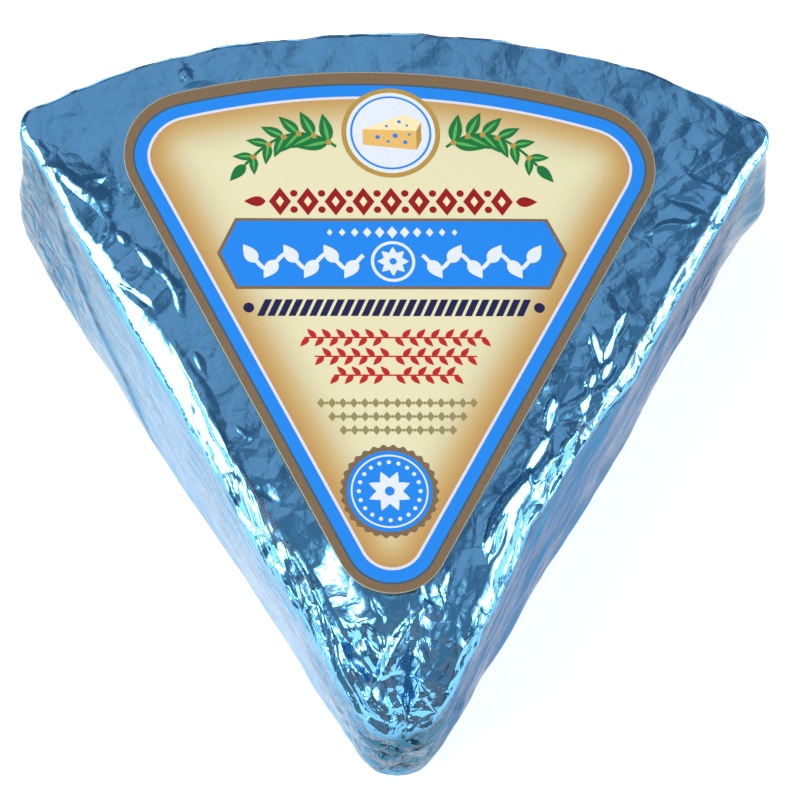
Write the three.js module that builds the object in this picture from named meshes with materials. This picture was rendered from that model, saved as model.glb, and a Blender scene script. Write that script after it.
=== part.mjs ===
/*
 * A wedge of gorgonzola, shut in its foil wrap, with a paper sticker on the flat top.
 *
 * Millimetres, +Z up. The pack lies flat on z = 0 with its sharp tip towards -Y and the rind side, cut
 * from the edge of the wheel, towards +Y. Nothing of the cheese shows, so the wrapped wedge is one
 * solid: a rounded sector with soft edges, whose skin is pushed in and out by the creases of the foil.
 *
 * The skin is drawn ring by ring: every ring runs round the plan outline of the wedge, and the rings
 * climb from the middle of the underside, up the walls, over the top edge and on to the middle of the
 * top. Inside these functions x and y are measured from the point where the two straight sides of the
 * wedge would meet. At the end the whole pack is moved so that the origin is under its middle.
 */
import * as THREE from 'three';

const degrees = Math.PI / 180;

// ---------------------------------------------------------------- driving dimensions

// the cheese: a sixth of a wheel of 220 mm
const WHEEL_RADIUS = 110;
const HALF_ANGLE = 31.2 * degrees;
const WEDGE_HEIGHT = 33.4;
const TIP_RADIUS = 7.1;
const RIM_CORNER_RADIUS = 5.5;
const BASE_EDGE_RADIUS = 2.4;
const WALL_BELLY = 0.15;        // how far the middle of a wall stands out

/*
 * Soft cheese sags, so the walls lean, the top edge is tight in one place and loose in another, and the
 * top falls off at the sharp tip. Each row is a station on the way round from the tip to the middle of
 * the rim: its distance from the tip, how far the wall stands in from the plan outline at the floor and
 * at the top, the edge's radius, and how far the edge has sunk.
 */
const SECTIONS_LEFT = [
  [0, 1.15, 0.0, 5.1, 8], [7, 1.3, -1.8, 4.8, 7], [14, 1.05, -1.8, 4.2, 5], [24, 1.35, -1.5, 4.0, 2],
  [33, 1.1, -1.5, 4.0, 0.5], [42, 0.9, -1.2, 4.0, 0], [49, 0.8, -0.4, 4.0, 0], [57, 0.7, -0.4, 4.0, 0],
  [66, 0.75, 0.1, 4.0, 0], [74, 1.0, 0.3, 3.5, 0], [80, 0.75, 0.6, 2.9, 0], [87, 0.8, 1.3, 1.5, 0],
  [92, 1.2, 2.0, 1.2, 0], [100, 1.7, 2.4, 1.1, 0], [104, 1.8, 1.8, 1.1, 0], [108, 1.2, 1.1, 1.1, 0],
  [130, 0.8, 0.5, 1.1, 0], [142, 0.8, 1.05, 1.1, 0], [163, 0.8, 1.4, 1.1, 0],
];
const SECTIONS_RIGHT = [
  [0, 1.15, 0.0, 5.1, 8], [7, 0.9, 0.8, 4.4, 5], [14, 0.5, 1.2, 3.6, 2], [24, 0.2, 1.8, 3.2, 0],
  [34, 0.1, 3.0, 3.2, 0], [42, 0.0, 2.5, 3.2, 0], [50, -0.05, 2.2, 3.1, 0], [54, 0.0, 1.6, 3.0, 0],
  [64, 0.1, 1.3, 3.0, 0], [76, 0.4, 1.6, 2.6, 0], [84, 0.6, 1.7, 2.4, 0], [95, 0.7, 1.9, 2.1, 0],
  [104, 0.5, 1.2, 1.4, 0], [110, 0.6, 1.8, 1.1, 0], [116, 0.8, 1.1, 1.1, 0], [134, 0.8, 0.8, 1.1, 0],
  [150, 0.8, 1.3, 1.1, 0], [163, 0.8, 1.4, 1.1, 0],
];
const SINK_FALL = 2.2;          // a sunk edge draws the foil beside it down; higher numbers reach less far

// the folded ear of foil that stands out from the right rim corner, half way up
const EAR = { past: 1.5, height: 13, push: 1.8, halfWidth: 3.2, halfHeight: 7 };

// the sticker: a smaller rounded sector, set on the top a little askew
const LABEL_RIM_RADIUS = 110.8;
const LABEL_HALF_ANGLE = 27.97 * degrees;
const LABEL_TIP_OFFSET = 23.75;
const LABEL_TIP_RADIUS = 7.8;
const LABEL_CORNER_RADIUS = 10;
const LABEL_TURN = -1.32 * degrees;
const LABEL_CENTRE = new THREE.Vector2(-3.25, -8.9);
const LABEL_THICKNESS = 0.3;
const LABEL_GAP = 0.3;          // touching solids keep this much air between them

// the crumple of the foil
const FACET_SIZE = 10.5;
const FACET_DEPTH = 0.45;
const SMOOTH_TOP_SHARE = 0.25;  // the top keeps only this share of the crumple
const LABEL_MARGIN = 5;         // the foil is pressed flat this near the sticker

// how finely the solids are divided
const POINTS_AROUND = 176;
const LABEL_POINTS_AROUND = 96;
const WALL_STEPS = 8;
const TOP_EDGE_STEPS = 4;
const BASE_EDGE_STEPS = 3;
const BASE_RINGS = [0.5, 0.92];
const TOP_RINGS = [0.965, 0.92, 0.865, 0.8, 0.7, 0.45];
const TOP_MIDDLE = new THREE.Vector2(0, 68);

/*
 * The folds that can be told apart. A ridge stands up from the foil and a groove is pressed in; each
 * runs along a line of the top, given by its ends and the point it bends through.
 */
const TOP_FOLDS = [
  { from: [2.6, 25.2], through: [-0.4, 17.4], to: [-6.3, 9.6], height: 1.1, width: 1.7 },
  { from: [-0.6, 15.2], through: [-0.7, 11], to: [-1.0, 6.4], height: 0.8, width: 1.5 },
  { from: [-11.4, 18.4], through: [-6.5, 19.4], to: [-1.6, 19.0], height: -0.6, width: 1.4 },
  { from: [-49.3, 87.2], through: [-42.2, 81.4], to: [-41.7, 74.7], height: 0.7, width: 1.6 },
  { from: [-35.6, 65.2], through: [-26.3, 51.2], to: [-18.8, 37.2], height: -0.7, width: 2.2 },
  { from: [25.6, 51.4], through: [20.6, 48.1], to: [16.2, 44.6], height: -0.9, width: 1.8 },
  { from: [19.6, 54.2], through: [18.9, 48.0], to: [14.9, 41.8], height: 0.7, width: 1.5 },
  { from: [26.2, 63.4], through: [26.6, 58.6], to: [23.2, 53.0], height: 0.7, width: 1.8 },
  { from: [15.4, 41.7], through: [14.6, 34.4], to: [12.4, 26.0], height: 0.8, width: 2.4 },
  { from: [34.2, 77.4], through: [38.4, 77.2], to: [42.8, 76.0], height: 0.6, width: 1.6 },
];

/*
 * The turned-over flaps of the sheet. A flap starts in the rounded corner at one end of a wall and its
 * edge runs straight down that wall, from `topAt` at the top edge to `baseAt` at the floor, both
 * measured along the wall from where its corner ends. The foil under a flap lies one folded hem higher.
 */
const FLAP_STEP = 0.45;
const FLAP_SOFTNESS = 1.0;
const FLAP_LEAD = 6;            // how far round the corner a flap starts
const FLAPS = [
  { end: 'left wall at the rim', topAt: 5.5, baseAt: 24 },
  { end: 'right wall at the tip', topAt: -10, baseAt: 13 },
  { end: 'rim at the left', topAt: 8, baseAt: 34 },
  { end: 'rim at the right', topAt: 8, baseAt: 34 },
];

// the puckered foil round the tip: upright pleats, deepest half way up
const TIP_PLEATS = 7;
const TIP_PLEAT_DEPTH = 0.65;
const TIP_PLEAT_REACH = 11;

// ---------------------------------------------------------------- outlines

/**
 * A sector with rounded corners, as a path that starts at its tip and runs with +X on the right.
 * The rim is an arc about (0, 0); the straight sides would meet at (0, tipOffset).
 */
function roundedSector(rimRadius, halfAngle, tipOffset, tipRadius, cornerRadius) {
  const reach = rimRadius - cornerRadius;
  const setBack = (cornerRadius + tipOffset * Math.sin(halfAngle)) / reach;
  const cornerAngle = halfAngle - Math.asin(setBack);
  const cornerX = reach * Math.sin(cornerAngle);
  const cornerY = reach * Math.cos(cornerAngle);
  const tipY = tipOffset + tipRadius / Math.sin(halfAngle);
  const quarter = Math.PI / 2;

  const path = new THREE.Path();
  path.absarc(0, tipY, tipRadius, -quarter, -halfAngle);
  path.absarc(cornerX, cornerY, cornerRadius, -halfAngle, quarter - cornerAngle);
  path.absarc(0, 0, rimRadius, quarter - cornerAngle, quarter + cornerAngle);
  path.absarc(-cornerX, cornerY, cornerRadius, quarter + cornerAngle, Math.PI + halfAngle);
  path.absarc(0, tipY, tipRadius, Math.PI + halfAngle, 3 * quarter);
  return path;
}

/** Evenly spaced points of a closed path, each with its outward normal and its distance along it. */
function walkRound(path, count) {
  const length = path.getLength();
  return Array.from({ length: count }, (_, index) => {
    const at = index / count;
    const point = path.getPointAt(at);
    const ahead = path.getPointAt((at + 1e-4) % 1);
    const along = ahead.sub(point).normalize();
    return { point, normal: new THREE.Vector2(along.y, -along.x), distance: at * length };
  });
}

/** How far a point lies outside a closed outline of points; negative inside. */
function distanceOutside(point, outline) {
  let nearest = Infinity;
  let inside = false;
  outline.forEach((a, index) => {
    const b = outline[(index + 1) % outline.length];
    nearest = Math.min(nearest, distanceToSegment(point, a, b));
    const crosses = (a.y > point.y) !== (b.y > point.y);
    if (crosses && point.x < a.x + ((point.y - a.y) * (b.x - a.x)) / (b.y - a.y)) {
      inside = !inside;
    }
  });
  return inside ? -nearest : nearest;
}

function distanceToSegment(point, a, b) {
  const along = b.clone().sub(a);
  const share = point.clone().sub(a).dot(along) / along.lengthSq();
  const foot = a.clone().addScaledVector(along, THREE.MathUtils.clamp(share, 0, 1));
  return point.distanceTo(foot);
}

// ---------------------------------------------------------------- the crumple

/** A repeatable number from -1 to 1 for a point of a lattice. */
function latticeValue(i, j, k) {
  const wild = Math.sin(i * 127.1 + j * 311.7 + k * 74.7) * 43758.5453;
  return 2 * (wild - Math.floor(wild)) - 1;
}

/**
 * Flat facets that meet in sharp creases. Space is cut into cubes and each cube into six tetrahedra;
 * every lattice point has a number of its own, and the value runs straight between the four numbers
 * at the corners of the tetrahedron that holds the place.
 */
function crumple(place, size) {
  const cell = place.map((value) => Math.floor(value / size));
  const share = place.map((value, axis) => value / size - cell[axis]);
  const order = [0, 1, 2].sort((a, b) => share[b] - share[a]);
  let value = latticeValue(...cell) * (1 - share[order[0]]);
  order.forEach((axis, rank) => {
    cell[axis] += 1;
    const next = rank < 2 ? share[order[rank + 1]] : 0;
    value += latticeValue(...cell) * (share[axis] - next);
  });
  return value;
}

/** The wall's shape at a distance round the outline, read between the rows of its side. */
function section(distance, length) {
  const rows = distance > length / 2 ? SECTIONS_LEFT : SECTIONS_RIGHT;
  const fromTip = Math.min(distance, length - distance);
  const after = Math.max(1, rows.findIndex((row) => row[0] >= fromTip));
  const [low, high] = [rows[after - 1], rows[after]];
  const share = (fromTip - low[0]) / (high[0] - low[0]);
  const [, baseInset, topInset, edgeRadius, sink] = low.map((value, column) => (
    THREE.MathUtils.lerp(value, high[column], share)
  ));
  return { baseInset, topInset, edgeRadius, sink };
}

/** How far the ear of foil at the right rim corner pushes the wall out. */
function earHeight(distance, height, marks) {
  const across = (distance - (marks['right wall at the rim'].from + EAR.past)) / EAR.halfWidth;
  const up = (height - EAR.height) / EAR.halfHeight;
  return EAR.push * Math.exp(-(across ** 2) - up ** 2);
}

/** The height of the named folds of the top at a place: a smooth hump across each fold's line. */
function topFoldHeight(place) {
  return TOP_FOLDS.reduce((height, fold) => {
    const [from, through, to] = [fold.from, fold.through, fold.to].map((at) => new THREE.Vector2(...at));
    const near = Math.min(
      distanceToSegment(place, from, through),
      distanceToSegment(place, through, to),
    );
    return height + fold.height * Math.exp(-((near / fold.width) ** 2));
  }, 0);
}

/** How far a wall is pushed by its flaps: half a step out where a flap lies and half a step in beyond. */
function flapHeight(distance, climb, marks) {
  const covers = FLAPS.map((flap) => {
    const { from, onwards } = marks[flap.end];
    const along = (distance - from) * onwards;
    const edge = THREE.MathUtils.lerp(flap.baseAt, flap.topAt, climb);
    const begun = THREE.MathUtils.smoothstep(along, -FLAP_LEAD, -FLAP_LEAD / 2);
    const ended = THREE.MathUtils.smoothstep(along, edge - FLAP_SOFTNESS, edge + FLAP_SOFTNESS);
    return begun * (1 - ended);
  });
  return FLAP_STEP * (Math.max(...covers) - 0.5);
}

// ---------------------------------------------------------------- the wrapped wedge

const labelPath = roundedSector(
  LABEL_RIM_RADIUS, LABEL_HALF_ANGLE, LABEL_TIP_OFFSET, LABEL_TIP_RADIUS, LABEL_CORNER_RADIUS,
);
const labelOutline = walkRound(labelPath, LABEL_POINTS_AROUND).map(({ point }) => (
  point.rotateAround(new THREE.Vector2(), LABEL_TURN).add(LABEL_CENTRE)
));

/** Where the walls begin along the outline, and which way (1 or -1) leads from there on to the wall. */
function wallMarks(length) {
  const reach = WHEEL_RADIUS - RIM_CORNER_RADIUS;
  const tip = TIP_RADIUS * (Math.PI / 2 - HALF_ANGLE);
  const side = Math.sqrt(reach ** 2 - RIM_CORNER_RADIUS ** 2) - TIP_RADIUS / Math.tan(HALF_ANGLE);
  const corner = RIM_CORNER_RADIUS * (Math.PI / 2 + Math.asin(RIM_CORNER_RADIUS / reach));
  return {
    'right wall at the tip': { from: tip, onwards: 1 },
    'right wall at the rim': { from: tip + side, onwards: -1 },
    'rim at the right': { from: tip + side + corner, onwards: 1 },
    'rim at the left': { from: length - tip - side - corner, onwards: -1 },
    'left wall at the rim': { from: length - tip - side, onwards: 1 },
  };
}

/** The crumple and folds at one place of the skin, as a distance to push the skin outwards. */
function relief(place, onTop, climb, distance, length, marks) {
  const plan = new THREE.Vector2(place.x, place.y);
  const fromLabel = distanceOutside(plan, labelOutline);
  const free = onTop > 0 ? THREE.MathUtils.smoothstep(fromLabel, 0, LABEL_MARGIN) : 1;
  const fromTip = Math.min(distance, length - distance);
  const gathered = Math.exp(-((fromTip / TIP_PLEAT_REACH) ** 2));
  const rough = THREE.MathUtils.lerp(1, Math.max(SMOOTH_TOP_SHARE, gathered), onTop);
  const facets = FACET_DEPTH * rough * crumple([place.x, place.y, place.z], FACET_SIZE);
  const pleats = TIP_PLEAT_DEPTH * gathered * (1 - onTop) * Math.sin(Math.PI * climb)
    * Math.cos((TIP_PLEATS * Math.PI * distance) / TIP_PLEAT_REACH);
  const flaps = flapHeight(distance, climb, marks) * (1 - onTop);
  const belly = WALL_BELLY * Math.sin(Math.PI * climb) * (1 - onTop);
  const ear = earHeight(distance, place.z, marks) * (1 - onTop);
  return free * (facets + topFoldHeight(plan) * onTop) + pleats + flaps + belly + ear;
}

/** The wall's points from the underside to the top at one station: inset, height and slope of each. */
function wallProfile({ baseInset, topInset, edgeRadius, sink }) {
  const points = [];
  const add = (roll, height, up) => {
    const inset = roll + THREE.MathUtils.lerp(baseInset, topInset, height / WEDGE_HEIGHT);
    points.push({ inset, height, up });
  };
  for (let step = 0; step <= BASE_EDGE_STEPS; step += 1) {
    const turn = (step / BASE_EDGE_STEPS) * Math.PI / 2;
    add(BASE_EDGE_RADIUS * (1 - Math.sin(turn)), BASE_EDGE_RADIUS * (1 - Math.cos(turn)), -Math.cos(turn));
  }
  const wallTop = WEDGE_HEIGHT - sink - edgeRadius;
  for (let step = 1; step < WALL_STEPS; step += 1) {
    add(0, THREE.MathUtils.lerp(BASE_EDGE_RADIUS, wallTop, step / WALL_STEPS), 0);
  }
  for (let step = 0; step <= TOP_EDGE_STEPS; step += 1) {
    const turn = (step / TOP_EDGE_STEPS) * Math.PI / 2;
    add(edgeRadius * (1 - Math.cos(turn)), wallTop + edgeRadius * Math.sin(turn), Math.sin(turn));
  }
  return points;
}

/** Joins rings of points, each as long as the next, and a pole at either end into one closed skin. */
function closedSkin(rings, basePole, topPole) {
  const around = rings[0].length;
  const points = [basePole, ...rings.flat(), topPole];
  const last = points.length - 1;
  const faces = [];
  for (let step = 0; step < around; step += 1) {
    const next = (step + 1) % around;
    faces.push(0, 1 + next, 1 + step);
    rings.slice(1).forEach((_, ring) => {
      const low = 1 + ring * around;
      const high = low + around;
      faces.push(low + step, low + next, high + next);
      faces.push(low + step, high + next, high + step);
    });
    const topRing = 1 + (rings.length - 1) * around;
    faces.push(topRing + step, topRing + next, last);
  }
  const geometry = new THREE.BufferGeometry();
  geometry.setFromPoints(points);
  geometry.setIndex(faces);
  geometry.computeVertexNormals();
  return geometry;
}

function foilWedge() {
  const path = roundedSector(WHEEL_RADIUS, HALF_ANGLE, 0, TIP_RADIUS, RIM_CORNER_RADIUS);
  const length = path.getLength();
  const stations = walkRound(path, POINTS_AROUND);
  const marks = wallMarks(length);
  const shapes = stations.map(({ distance }) => section(distance, length));

  const walls = stations.map(({ point, normal, distance }, index) => (
    wallProfile(shapes[index]).map(({ inset, height, up }) => {
      const plan = point.clone().addScaledVector(normal, -inset);
      const place = new THREE.Vector3(plan.x, plan.y, height);
      const climb = height / WEDGE_HEIGHT;
      const push = relief(place, Math.max(0, up), climb, distance, length, marks) * Math.min(1, 1 + up);
      const outward = Math.sqrt(1 - up * up);
      place.x += normal.x * outward * push;
      place.y += normal.y * outward * push;
      place.z += up * push;
      return place;
    })
  ));
  const edgeRings = walls[0].map((_, ring) => walls.map((wall) => wall[ring]));

  const baseEdge = edgeRings[0];
  const baseRings = BASE_RINGS.map((share) => baseEdge.map((edge) => (
    new THREE.Vector3(
      THREE.MathUtils.lerp(TOP_MIDDLE.x, edge.x, share),
      THREE.MathUtils.lerp(TOP_MIDDLE.y, edge.y, share),
      0,
    )
  )));
  const topRings = TOP_RINGS.map((share) => stations.map(({ point, normal, distance }, index) => {
    const { topInset, edgeRadius, sink } = shapes[index];
    const edge = point.clone().addScaledVector(normal, -topInset - edgeRadius);
    const plan = TOP_MIDDLE.clone().lerp(edge, share);
    const outside = Math.max(0, distanceOutside(plan, labelOutline) / distanceOutside(edge, labelOutline));
    const place = new THREE.Vector3(plan.x, plan.y, WEDGE_HEIGHT - sink * outside ** SINK_FALL);
    place.z += relief(place, 1, 1, distance, length, marks);
    return place;
  }));
  const basePole = new THREE.Vector3(TOP_MIDDLE.x, TOP_MIDDLE.y, 0);
  const topPole = new THREE.Vector3(TOP_MIDDLE.x, TOP_MIDDLE.y, WEDGE_HEIGHT);

  const foil = new THREE.MeshStandardMaterial({ color: 0x7eb4dc, roughness: 0.22, metalness: 1 });
  const mesh = new THREE.Mesh(closedSkin([...baseRings, ...edgeRings, ...topRings], basePole, topPole), foil);
  mesh.name = 'foil_wedge';
  return mesh;
}

// ---------------------------------------------------------------- the sticker

/** The sticker's two faces, each fanned from its middle, and its cut edge between them. */
function label() {
  const rings = [0, LABEL_THICKNESS].map((height) => (
    labelOutline.map(({ x, y }) => new THREE.Vector3(x, y, height))
  ));
  const basePole = new THREE.Vector3(TOP_MIDDLE.x, TOP_MIDDLE.y, 0);
  const topPole = new THREE.Vector3(TOP_MIDDLE.x, TOP_MIDDLE.y, LABEL_THICKNESS);
  const paper = new THREE.MeshStandardMaterial({ color: 0xede5c6, roughness: 0.45, metalness: 0 });
  const mesh = new THREE.Mesh(closedSkin(rings, basePole, topPole), paper);
  mesh.name = 'label';
  mesh.position.z = WEDGE_HEIGHT + LABEL_GAP;
  return mesh;
}

// ---------------------------------------------------------------- the pack, origin under its middle

const pack = new THREE.Group();
pack.add(foilWedge(), label());
const middle = new THREE.Box3().setFromObject(pack, true).getCenter(new THREE.Vector3());
pack.position.set(-middle.x, -middle.y, 0);

export default pack;
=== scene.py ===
# %% [markdown]
# # A wedge of blue cheese in crumpled foil
#
# The object is a shut pack: a sixth of a flat cheese wheel, wrapped tightly in blue metal foil, with a
# printed paper label on top. Two things make it convincing. The foil is a mirror, so every fold has to
# be real geometry that throws the studio's light somewhere else; and the label has to lie on it as thin
# paper with crisp, slightly raised ink. This lesson builds both as surfaces worked out with numpy.

import bpy
import numpy as np
from mathutils import Matrix, Vector


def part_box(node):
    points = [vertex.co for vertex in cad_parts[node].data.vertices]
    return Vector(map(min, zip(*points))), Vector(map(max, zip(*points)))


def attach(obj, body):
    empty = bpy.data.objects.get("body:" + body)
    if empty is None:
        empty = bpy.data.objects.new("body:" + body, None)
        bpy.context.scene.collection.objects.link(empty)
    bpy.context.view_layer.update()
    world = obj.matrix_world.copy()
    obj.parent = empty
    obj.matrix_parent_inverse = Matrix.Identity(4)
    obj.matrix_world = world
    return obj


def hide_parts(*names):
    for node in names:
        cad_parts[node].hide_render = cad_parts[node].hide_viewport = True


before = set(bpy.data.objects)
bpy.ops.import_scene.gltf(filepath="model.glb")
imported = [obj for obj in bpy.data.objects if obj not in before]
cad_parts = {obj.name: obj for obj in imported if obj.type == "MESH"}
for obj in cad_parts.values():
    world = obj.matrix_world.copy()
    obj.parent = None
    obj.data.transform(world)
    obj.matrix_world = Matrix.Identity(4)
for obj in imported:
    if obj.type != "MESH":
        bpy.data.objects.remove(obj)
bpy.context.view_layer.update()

MM = 0.001
wedge_low, wedge_high = (np.array(corner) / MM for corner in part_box("foil_wedge"))
label_low, label_high = (np.array(corner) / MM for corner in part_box("label"))
print("wedge", np.round(wedge_high - wedge_low, 1), "mm; label", np.round(label_high - label_low, 1), "mm")

# %% [markdown]
# ## One measure for every piece
#
# Everything below is worked out in millimetres from the point where the two straight sides of the wedge
# would meet, with the sharp tip towards -Y. That point suits the shape, because the rim is an arc about
# it. The pack's own frame has its origin under the middle of the pack, so each finished mesh is moved
# by one offset. The offset comes from the label, whose outline is known in both places.

# %% Plan outlines: rounded sectors
WHEEL_RADIUS = 110.0
HALF_ANGLE = np.radians(31.2)
WEDGE_HEIGHT = 33.4
TIP_RADIUS = 7.1
RIM_CORNER_RADIUS = 5.5

LABEL_RIM_RADIUS = 110.8
LABEL_HALF_ANGLE = np.radians(27.97)
LABEL_TIP_OFFSET = 23.75
LABEL_TIP_RADIUS = 7.8
LABEL_CORNER_RADIUS = 10.0
LABEL_TURN = np.radians(-1.32)
LABEL_CENTRE = np.array([-3.25, -8.9])


def rounded_sector(rim, half_angle, tip_offset, tip, corner, counts):
    """Points and outward normals round a sector with rounded corners, from the middle of its tip.

    The rim is an arc about (0, 0) and the sides would meet at (0, tip_offset). A rounded corner is an
    arc that touches both its neighbours, so on an arc a point is the centre plus the radius times the
    normal, and on a straight side the normal stands still. counts gives the number of steps on half
    the tip, a side, a rim corner and half the rim.
    """
    reach = rim - corner
    turn = half_angle - np.arcsin((corner + tip_offset * np.sin(half_angle)) / reach)
    tip_centre = np.array([0.0, tip_offset + tip / np.sin(half_angle)])
    corner_centre = reach * np.array([np.sin(turn), np.cos(turn)])

    def arc(centre, radius, start, end, steps):
        angle = np.linspace(start, end, steps, endpoint=False)
        normal = np.stack([np.cos(angle), np.sin(angle)], -1)
        return centre + radius * normal, normal

    up = np.pi / 2
    tip_arc = arc(tip_centre, tip, -up, -half_angle, counts[0])
    corner_arc = arc(corner_centre, corner, -half_angle, up - turn, counts[2])
    rim_arc = arc(np.zeros(2), rim, up - turn, up, counts[3])
    side_normal = np.array([np.cos(half_angle), -np.sin(half_angle)])
    side_share = np.linspace(0, 1, counts[1], endpoint=False)[:, None]
    side_start = tip_centre + tip * side_normal
    side_points = side_start + side_share * (corner_centre + corner * side_normal - side_start)
    side = side_points, np.repeat(side_normal[None], counts[1], 0)

    half = [np.concatenate(column) for column in zip(tip_arc, side, corner_arc, rim_arc)]
    mirror = np.array([-1.0, 1.0])
    top = np.array([[0.0, rim]]), np.array([[0.0, 1.0]])
    return [
        np.concatenate([one, end, (one[1:] * mirror)[::-1]])
        for one, end in zip(half, top)
    ]


def label_outline(counts):
    """The label's outline: its own rounded sector, turned a little and moved on to the wedge."""
    points, normals = rounded_sector(
        LABEL_RIM_RADIUS, LABEL_HALF_ANGLE, LABEL_TIP_OFFSET, LABEL_TIP_RADIUS, LABEL_CORNER_RADIUS, counts
    )
    cos, sin = np.cos(LABEL_TURN), np.sin(LABEL_TURN)
    turn = np.array([[cos, sin], [-sin, cos]])
    return points @ turn + LABEL_CENTRE, normals @ turn


coarse_label = label_outline((12, 40, 16, 30))[0]
label_middle = (coarse_label.max(0) + coarse_label.min(0)) / 2
ORIGIN = (label_low + label_high)[:2] / 2 - label_middle
print("the sides of the wedge would meet at", np.round(ORIGIN, 2), "mm")

# %% [markdown]
# ## From arrays to closed meshes
#
# Each piece is a grid of points: rings one way, places round the ring the other way. Blender takes the
# whole grid at once. One helper closes the grid into a skin with a pole at either end, as the wrapped
# wedge and the label need.

# %% Mesh helpers
def new_piece(name, points, quads, triangles=(), smooth=True):
    """A mesh object from points in millimetres round the wedge's own corner, moved into the frame."""
    placed = np.array(points, float)
    placed[:, :2] += ORIGIN
    mesh = bpy.data.meshes.new(name)
    faces = [np.asarray(part, np.int32).reshape(-1, size) for part, size in ((quads, 4), (triangles, 3))]
    sizes = np.concatenate([np.full(len(part), part.shape[1], np.int32) for part in faces])
    loops = np.concatenate([part.ravel() for part in faces])
    mesh.vertices.add(len(placed))
    mesh.vertices.foreach_set("co", (placed * MM).astype(np.float32).ravel())
    mesh.loops.add(len(loops))
    mesh.loops.foreach_set("vertex_index", loops)
    mesh.polygons.add(len(sizes))
    mesh.polygons.foreach_set("loop_start", np.concatenate([[0], np.cumsum(sizes)[:-1]]).astype(np.int32))
    mesh.polygons.foreach_set("use_smooth", np.full(len(sizes), smooth))
    mesh.update(calc_edges=True)
    mesh.validate()
    piece = bpy.data.objects.new(name, mesh)
    bpy.context.scene.collection.objects.link(piece)
    return piece


def grid_faces(rings, around, first=0, closed=True):
    """The four-sided faces between neighbouring rings, wound so that they face away from the middle."""
    steps = np.arange(around if closed else around - 1)
    low = first + np.arange(rings - 1)[:, None] * around
    a, b = low + steps, low + (steps + 1) % around
    return np.stack([a, b, b + around, a + around], -1).reshape(-1, 4)


def closed_skin(rings, base_pole, top_pole):
    """Points, quads and triangles of rings (ring, place, xyz) closed by a pole at either end."""
    count, around, _ = rings.shape
    points = np.concatenate([[base_pole], rings.reshape(-1, 3), [top_pole]])
    quads = grid_faces(count, around, first=1)
    here = np.arange(around)
    ahead = (here + 1) % around
    last_ring = 1 + (count - 1) * around
    base = np.stack([np.zeros(around, int), 1 + ahead, 1 + here], -1)
    top = np.stack([last_ring + here, last_ring + ahead, np.full(around, len(points) - 1)], -1)
    return points, quads, np.concatenate([base, top])


def add_attribute(piece, name, kind, rings):
    """Stores a number or a vector for every point of a closed skin; a pole takes its ring's mean."""
    values = rings.reshape(rings.shape[0] * rings.shape[1], -1)
    around = rings.shape[1]
    poles = values[:around].mean(0)[None], values[-around:].mean(0)[None]
    column = np.concatenate([poles[0], values, poles[1]]).astype(np.float32).ravel()
    key = "vector" if kind == "FLOAT_VECTOR" else "value"
    piece.data.attributes.new(name, kind, "POINT").data.foreach_set(key, column)


def smoothstep(value, low, high):
    """0 below low and 1 above high, with a soft s-shaped rise between them."""
    share = np.clip((value - low) / (high - low), 0, 1)
    return share * share * (3 - 2 * share)


def fades(value, low, high):
    """1 below low and 0 above high, with the same soft fall between them."""
    return smoothstep(-value, -high, -low)


def segment_distance(plan, start, end):
    """How far each place lies from a straight stretch, and how far along it the nearest point is."""
    along = end - start
    share = np.clip(((plan - start) @ along) / (along @ along), 0, 1)
    return np.linalg.norm(plan - (start + share[..., None] * along), axis=-1), share


def distance_outside(plan, outline):
    """How far each place lies outside a closed outline; negative inside."""
    nearest = np.full(plan.shape[:-1], np.inf)
    inside = np.zeros(plan.shape[:-1], bool)
    for a, b in zip(outline, np.roll(outline, -1, 0)):
        nearest = np.minimum(nearest, segment_distance(plan, a, b)[0])
        if a[1] != b[1]:
            crosses = (a[1] > plan[..., 1]) != (b[1] > plan[..., 1])
            crossing = a[0] + (plan[..., 1] - a[1]) * (b[0] - a[0]) / (b[1] - a[1])
            inside ^= crosses & (plan[..., 0] < crossing)
    return np.where(inside, -nearest, nearest)


# %% [markdown]
# ## What crumpled foil is made of
#
# Foil can bend but hardly stretch, so it crumples into flat facets that meet in sharp creases. Ordinary
# smooth noise gives it the look of melted wax. The recipe here cuts space into cubes and each cube into
# six tetrahedra, gives every lattice point its own number, and runs straight between the four numbers
# of a tetrahedron: the result is flat inside each facet and breaks at its borders. Bending the place
# first, by a coarser crumple of the same kind, keeps the facets flat but makes their outlines irregular.

# %% Crumple
def lattice_value(cell, seed):
    """A repeatable number from -1 to 1 for each lattice point: the fraction left of a wild sine."""
    wild = np.sin(cell @ np.array([127.1, 311.7, 74.7]) + 53.3 * seed) * 43758.5453
    return 2 * (wild - np.floor(wild)) - 1


def crumple(place, seed=0):
    """Flat facets with sharp creases, one unit to a lattice cell.

    The three shares of the place inside its cube are sorted; the walk from the cube's low corner to its
    high corner that takes the largest share first passes the tetrahedron's four corners.
    """
    cell = np.floor(place)
    share = place - cell
    order = np.argsort(-share, axis=-1, kind="stable")
    ranked = np.take_along_axis(share, order, -1)
    value = lattice_value(cell, seed) * (1 - ranked[..., 0])
    for rank in range(3):
        step = np.eye(3)[order[..., rank]]
        cell = cell + step
        after = ranked[..., rank + 1] if rank < 2 else 0.0
        value = value + lattice_value(cell, seed) * (ranked[..., rank] - after)
    return value


def bent_crumple(place, size, bend, seed):
    """A crumple of a given facet size whose facets are pulled out of line by a coarser crumple."""
    coarse = place / (2.3 * size)
    pull = np.stack([crumple(coarse, seed + shift) for shift in (11, 12, 13)], -1)
    return crumple(place / size + bend * pull, seed)


print("crumple spans", round(float(crumple(np.random.default_rng(1).uniform(0, 40, (5000, 3))).std()), 2))

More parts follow.
